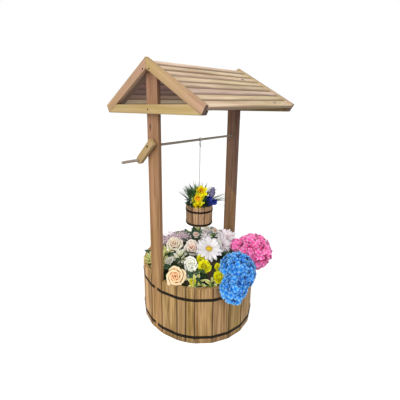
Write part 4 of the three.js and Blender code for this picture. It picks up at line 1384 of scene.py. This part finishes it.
yellow_petal = petal_skin("yellow_petal", (0.66, 0.50, 0.0), (1.0, 0.90, 0.0), (1.0, 1.0, 0.03),
                          0.3, 0.4)
buttons = [
    ((-0.070, -0.090, 0.306), (-0.5, -0.5, 0.7), 0.025, 100),
    ((-0.092, -0.126, 0.293), (-0.55, -0.6, 0.6), 0.031, 130),
    ((-0.052, -0.165, 0.293), (-0.4, -0.7, 0.5), 0.017, 60),
    ((-0.088, -0.203, 0.277), (-0.1, -0.75, 0.75), 0.029, 100),
    ((-0.172, -0.134, 0.262), (-0.6, -0.5, 0.6), 0.016, 50),
    ((0.168, 0.150, 0.266), (0.7, 0.6, 0.4), 0.024, 80),
    ((-0.11, 0.165, 0.293), (-0.3, 0.7, 0.6), 0.027, 80),
    ((0.122, 0.184, 0.266), (0.4, 0.8, 0.4), 0.023, 70),
]
plant("yellow_buttons", [button(*each) for each in buttons], yellow_petal)
button_heart = plain_skin("button_middle", (0.30, 0.24, 0.01), (0.62, 0.52, 0.02), 300.0)
plant("button_middles", [ball(place, (0.42 * radius,) * 3, 8, 14) for place, _, radius, _ in buttons],
      button_heart)


def spikes(roots, tips, count, size, width=0.55):
    """Small petals up each spike: the k-th at the share (k + a half) / count of its length,
    turned by k golden angles, leaning up and out, smaller towards the tip."""
    roots, tips = np.asarray(roots, float)[:, None], np.asarray(tips, float)[:, None]
    k = np.arange(count)[None]
    t = (k + 0.5) / count
    axis, ring = ring_round(tips - roots, golden * k)
    rise = ring * 0.85 + axis * 0.6
    start = roots + (tips - roots) * t[..., None]
    lean = np.broadcast_to(axis, rise.shape)
    length = (size * (1 - 0.55 * t) * chance.uniform(0.8, 1.15, rise.shape[:2])).ravel()
    start, rise, lean = (each.reshape(-1, 3) for each in (start, rise, lean))
    return blades(start, rise, lean, length, length * width, 0.5, 0.2, broad, 4)


lilac_petal = petal_skin("lilac_petal", (1.0, 0.60, 0.74), (1.0, 0.86, 0.92), (1.0, 0.95, 0.99),
                         0.05, 0.45, 0.03)
fan = np.linspace(-1, 1, 19)
spray_root = np.stack([-0.022 + 0.058 * fan, 0.128 - 0.030 * fan, 0.284 + 0.006 * (1 - fan ** 2)], -1)
spray_tip = spray_root + np.stack([0.030 * fan - 0.016, -0.028 * fan + 0.006,
                                   0.058 - 0.020 * fan ** 2 + chance.normal(0, 0.006, 19)], -1)
low_root = spray_root + np.array([-0.012, -0.014, -0.004])
low_tip = low_root + np.stack([0.040 * fan - 0.022, -0.030 * fan - 0.012,
                               0.038 - 0.014 * fan ** 2 + chance.normal(0, 0.005, 19)], -1)
spray_roots, spray_tips = np.concatenate([spray_root, low_root]), np.concatenate([spray_tip, low_tip])
plant("lilac_spray", [spikes(spray_roots, spray_tips, 18, 0.0150, 0.8)], lilac_petal)
pale_petal = petal_skin("pale_green_petal", (0.60, 0.66, 0.22), (0.95, 0.96, 0.72),
                        (1.0, 1.0, 0.92), 0.15, 0.45)
plant("pale_petals", [
    clump((-0.118, -0.007, 0.295), 16, 0.012, 0.034, 0.013, fanned, (-0.5, -0.2, 0.8), 75, 0.5, 0.2),
    clump((-0.150, -0.112, 0.270), 12, 0.010, 0.030, 0.012, fanned, (-0.6, -0.5, 0.6), 75, 0.5, 0.2),
    clump((0.140, 0.065, 0.326), 12, 0.008, 0.026, 0.010, fanned, (0, -0.2, 1), 75, 0.5, 0.2),
    clump((0.170, -0.030, 0.312), 14, 0.010, 0.030, 0.011, fanned, (0.1, -0.2, 1), 70, 0.5, 0.2),
    clump((0.112, 0.046, 0.346), 10, 0.006, 0.020, 0.009, fanned, (-0.1, -0.1, 1), 80, 0.5, 0.2),
    clump((0.040, -0.073, 0.328), 12, 0.010, 0.028, 0.012, fanned, (-0.2, -0.4, 0.9), 75, 0.5, 0.2),
], pale_petal)


# The bucket holds its own small planting: compost with dark leaves, grass that stands up at the
# back and sides, three daffodils in front, a deep blue cluster at the right and a lavender spike.
bucket_soil = bucket_rim - 0.004


def bucket_top(radius):
    """The height of the bucket's compost at a distance from the rope's line: an ellipse over
    its level at the staves."""
    return bucket_soil + 0.018 * np.sqrt(np.maximum(1 - (radius / 0.054) ** 2, 0))


shape = heap(0.0515, bucket_soil, bucket_foot + 0.0095, bucket_top, 0.0015, 260, (rope_place, 0, 0))
make_piece("bucket_moss", shape, moss_green, "bucket", ["bucket_planting"], 80)


def tuft(count, inner, outer, start, sweep, length, width, slope, bend, outline, steps=8, cup=-0.25):
    """Blades rooted over part of the bucket, sloping outwards by the given degrees and a little
    chance, and arching further. A blade that would pass close by the rope is left out."""
    radius, outward = scattered(count, inner, outer, start, sweep)
    root = outward * radius[:, None] + [rope_place, 0, 0] + up * (bucket_top(radius) - 0.006)[:, None]
    slope = np.radians(slope * radius / outer + chance.normal(0, 9, count))
    rise, lean = leaning(outward, up, slope)
    size = length * chance.uniform(0.6, 1.05, count)
    bend = bend * chance.uniform(0.4, 1.3, count)
    share = np.linspace(0.2, 1.0, 17)[:, None, None]
    seen = root + size[:, None] * share * (rise + lean * bend[:, None] * share / 2)
    away = np.linalg.norm(seen[..., :2] - [rope_place, 0], axis=-1) > width / 2 + 0.003
    kept = (away | (seen[..., 2] < bail_top - 0.006)).all(0)
    root, rise, lean, size, bend = (each[kept] for each in (root, rise, lean, size, bend))
    return blades(root, rise, lean, size, width, bend, cup, outline, steps)


def grassy(u):
    """Half the width of a grass blade along its length u: (1 - u)^0.7, full at the foot, with a
    twentieth of that left at the tip."""
    return (1 - u) ** 0.7 * 0.95 + 0.05


grass_leaf = leaf_skin("grass_leaf", (0.010, 0.050, 0.018), (0.08, 0.21, 0.055), (0.2, 0.3, 0.1),
                       (0.17, 0.34, 0.11))
toward = np.arctan2(-np.sin(camera_yaw), -np.cos(camera_yaw))
plant("bucket_leaves", [
    tuft(70, 0.005, 0.046, 0, 2 * np.pi, 0.038, 0.014, 62, 0.7, oval, 6),
    tuft(18, 0.034, 0.046, toward - 1.2, 0.9, 0.030, 0.013, 55, 0.8, oval, 6),
    tuft(12, 0.041, 0.047, np.pi - 0.05, 0.35, 0.034, 0.015, 42, 0.4, oval, 6),
    tuft(22, 0.016, 0.040, toward + 0.2, 1.0, 0.050, 0.014, 30, 0.5, oval, 6),
], dark_leaf, "bucket")
plant("bucket_grass", [
    tuft(110, 0.01, 0.042, toward - 2.3, 1.8, 0.092, 0.0105, 22, 0.36, grassy, 8, -0.1),
    tuft(30, 0.0, 0.030, 0, 2 * np.pi, 0.096, 0.0064, 18, 0.3, grassy),
    tuft(16, 0.034, 0.044, toward + 1.4, 0.4, 0.100, 0.0090, 74, 0.25, grassy, 8, -0.1),
    tuft(34, 0.02, 0.044, toward + 2.0, 1.8, 0.080, 0.0060, 30, 0.5, grassy),
], grass_leaf, "bucket")


def daffodil(place, axis, radius):
    """Six broad pointed petals in two rows of three round an axis."""
    k = np.arange(6)
    axis, ring = ring_round(axis, np.pi / 3 * k + 0.3)
    row = (k % 2)[:, None]
    rise = ring + axis * (0.12 + 0.12 * row)
    root = np.asarray(place) + ring * radius * 0.10 + axis * 0.0008 * row
    return blades(root, rise, np.broadcast_to(-axis, rise.shape), radius * 0.92, radius * 0.72,
                  0.3, -0.25, oval, 8)


def trumpet(place, axis, radius):
    """A flared cup: a closed wall profile turned round an axis, its lip frilled by a tenth in
    eleven waves that grow towards the lip."""
    wall = np.array([[0.02, 0.02], [0.24, 0.03], [0.27, 0.25], [0.33, 0.45], [0.44, 0.58],
                     [0.43, 0.62], [0.30, 0.47], [0.23, 0.26], [0.20, 0.08], [0.02, 0.07]])
    turn = np.linspace(0, 2 * np.pi, 44, endpoint=False)[:, None]
    frill = 1 + 0.10 * np.sin(11 * turn) * np.clip(wall[:, 1] / 0.6, 0, 1) ** 3
    axis, out = ring_round(axis, turn)
    points = out * (wall[:, 0] * frill)[..., None] + axis * wall[:, 1][None, :, None]
    points = np.asarray(place) + radius * points
    high = np.stack(np.broadcast_arrays(wall[:, 1] / 0.62, 0 * turn, 0.5 + 0 * turn), -1)
    quads = [group[:, ::-1] for group in ring_faces(44, len(wall), True)]
    return points.reshape(-1, 3), quads, {"leaf": high.reshape(-1, 3)}


daffodil_petal = petal_skin("daffodil_petal", (0.96, 0.74, 0.0), (1.0, 0.91, 0.0),
                            (1.0, 0.97, 0.03), 0.08, 0.4, 0.08)
daffodil_cup = petal_skin("daffodil_cup", (0.84, 0.40, 0.0), (0.94, 0.58, 0.0), (0.98, 0.76, 0.02),
                          0.05, 0.6, 0.1)
bucket_flowers = [
    ((-0.022, -0.018, 0.551), (-0.66, -0.62, 0.42), 0.037),
    ((-0.006, -0.022, 0.582), (-0.50, -0.50, 0.70), 0.033),
    ((-0.032, -0.028, 0.525), (-0.66, -0.60, -0.25), 0.026),
]
plant("daffodils", [daffodil(*flower) for flower in bucket_flowers], daffodil_petal, "bucket")
make_piece("daffodil_cups", join([trumpet(*flower) for flower in bucket_flowers]), daffodil_cup,
           "bucket", (), 60)
deep_petal = petal_skin("deep_blue_petal", (0.006, 0.008, 0.08), (0.018, 0.028, 0.24),
                        (0.04, 0.09, 0.60), 0.5, 0.5)
plant("deep_blue_flowers", [
    florets((0.018, -0.055, 0.532), (0.015, 0.014, 0.010), 26, 0.0095),
    florets((0.016, -0.052, 0.550), (0.010, 0.010, 0.010), 16, 0.0085),
    florets((0.036, -0.064, 0.534), (0.009, 0.009, 0.008), 16, 0.0105),
], deep_petal, "bucket")
lavender_petal = petal_skin("lavender_petal", (0.12, 0.10, 0.22), (0.26, 0.23, 0.42),
                            (0.48, 0.44, 0.66), 0.35, 0.5)
spike = spikes([(0.030, -0.050, 0.548)], [(0.033, -0.058, 0.594)], 110, 0.0260, 0.7)
plant("lavender_spikes", [spike], lavender_petal, "bucket")


# The floor and the surroundings are plain white. A broad soft lamp stands high to the left of the
# camera and a weaker one to its right, and the even light of the surroundings fills the rest.
def seen_directly(tree):
    """One for what the camera sees, straight or by a shiny or a clear thing, and nought for what
    only lights the object."""
    rays = add(tree, "LightPath")
    seen = calc(tree, "MAXIMUM", rays["Is Camera Ray"], rays["Is Glossy Ray"])
    return calc(tree, "MAXIMUM", seen, rays["Is Transmission Ray"])


def white_floor():
    """White matt paint. The camera and mirrors see it glow, less where the object shades it."""
    material = bpy.data.materials.new("floor_paint")
    material.use_nodes = True
    tree = material.node_tree
    tree.nodes.clear()
    matt = add(tree, "BsdfDiffuse", {"Color": (0.45, 0.45, 0.45)})[0]
    faint = add(tree, "BsdfDiffuse", {"Color": (0.4, 0.4, 0.4)})[0]
    glow = add(tree, "Emission", {"Color": (1, 1, 1), "Strength": 0.81})[0]
    lit = add(tree, "AddShader", {0: faint, 1: glow})[0]
    both = add(tree, "MixShader", {0: seen_directly(tree), 1: matt, 2: lit})[0]
    add(tree, "OutputMaterial", {"Surface": both})
    return material


floor_mesh = bpy.data.meshes.new("floor")
floor_half = 14
floor_corners = [(x * floor_half, y * floor_half, 0) for x, y in ((-1, -1), (1, -1), (1, 1), (-1, 1))]
floor_mesh.from_pydata(floor_corners, [], [(0, 1, 2, 3)])
floor_mesh.materials.append(white_floor())
floor = bpy.data.objects.new("floor", floor_mesh)
bpy.context.scene.collection.objects.link(floor)
floor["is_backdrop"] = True

world = bpy.data.worlds.new("surroundings")
world.use_nodes = True
bpy.context.scene.world = world
tree = world.node_tree
tree.nodes.clear()
soft = add(tree, "Background", {"Color": (1, 1, 1), "Strength": 0.66})[0]
white = add(tree, "Background", {"Color": (1, 1, 1), "Strength": 1.0})[0]
both = add(tree, "MixShader", {0: seen_directly(tree), 1: soft, 2: white})[0]
add(tree, "OutputWorld", {"Surface": both})


def lamp(name, place, target, size, power):
    """A square soft lamp that faces a target."""
    data = bpy.data.lights.new(name, "AREA")
    data.size = size
    data.energy = power
    light = bpy.data.objects.new(name, data)
    light.location = place
    light.rotation_euler = (Vector(target) - Vector(place)).to_track_quat("-Z", "Y").to_euler()
    bpy.context.scene.collection.objects.link(light)


lamp("key_lamp", (-2.95, -0.6, 2.4), (0, 0, 0.5), 3.4, 84)
lamp("front_lamp", (-0.8, -2.8, 1.8), (0, 0, 0.4), 1.6, 20)
bpy.context.scene.view_settings.view_transform = "Standard"

low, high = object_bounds()
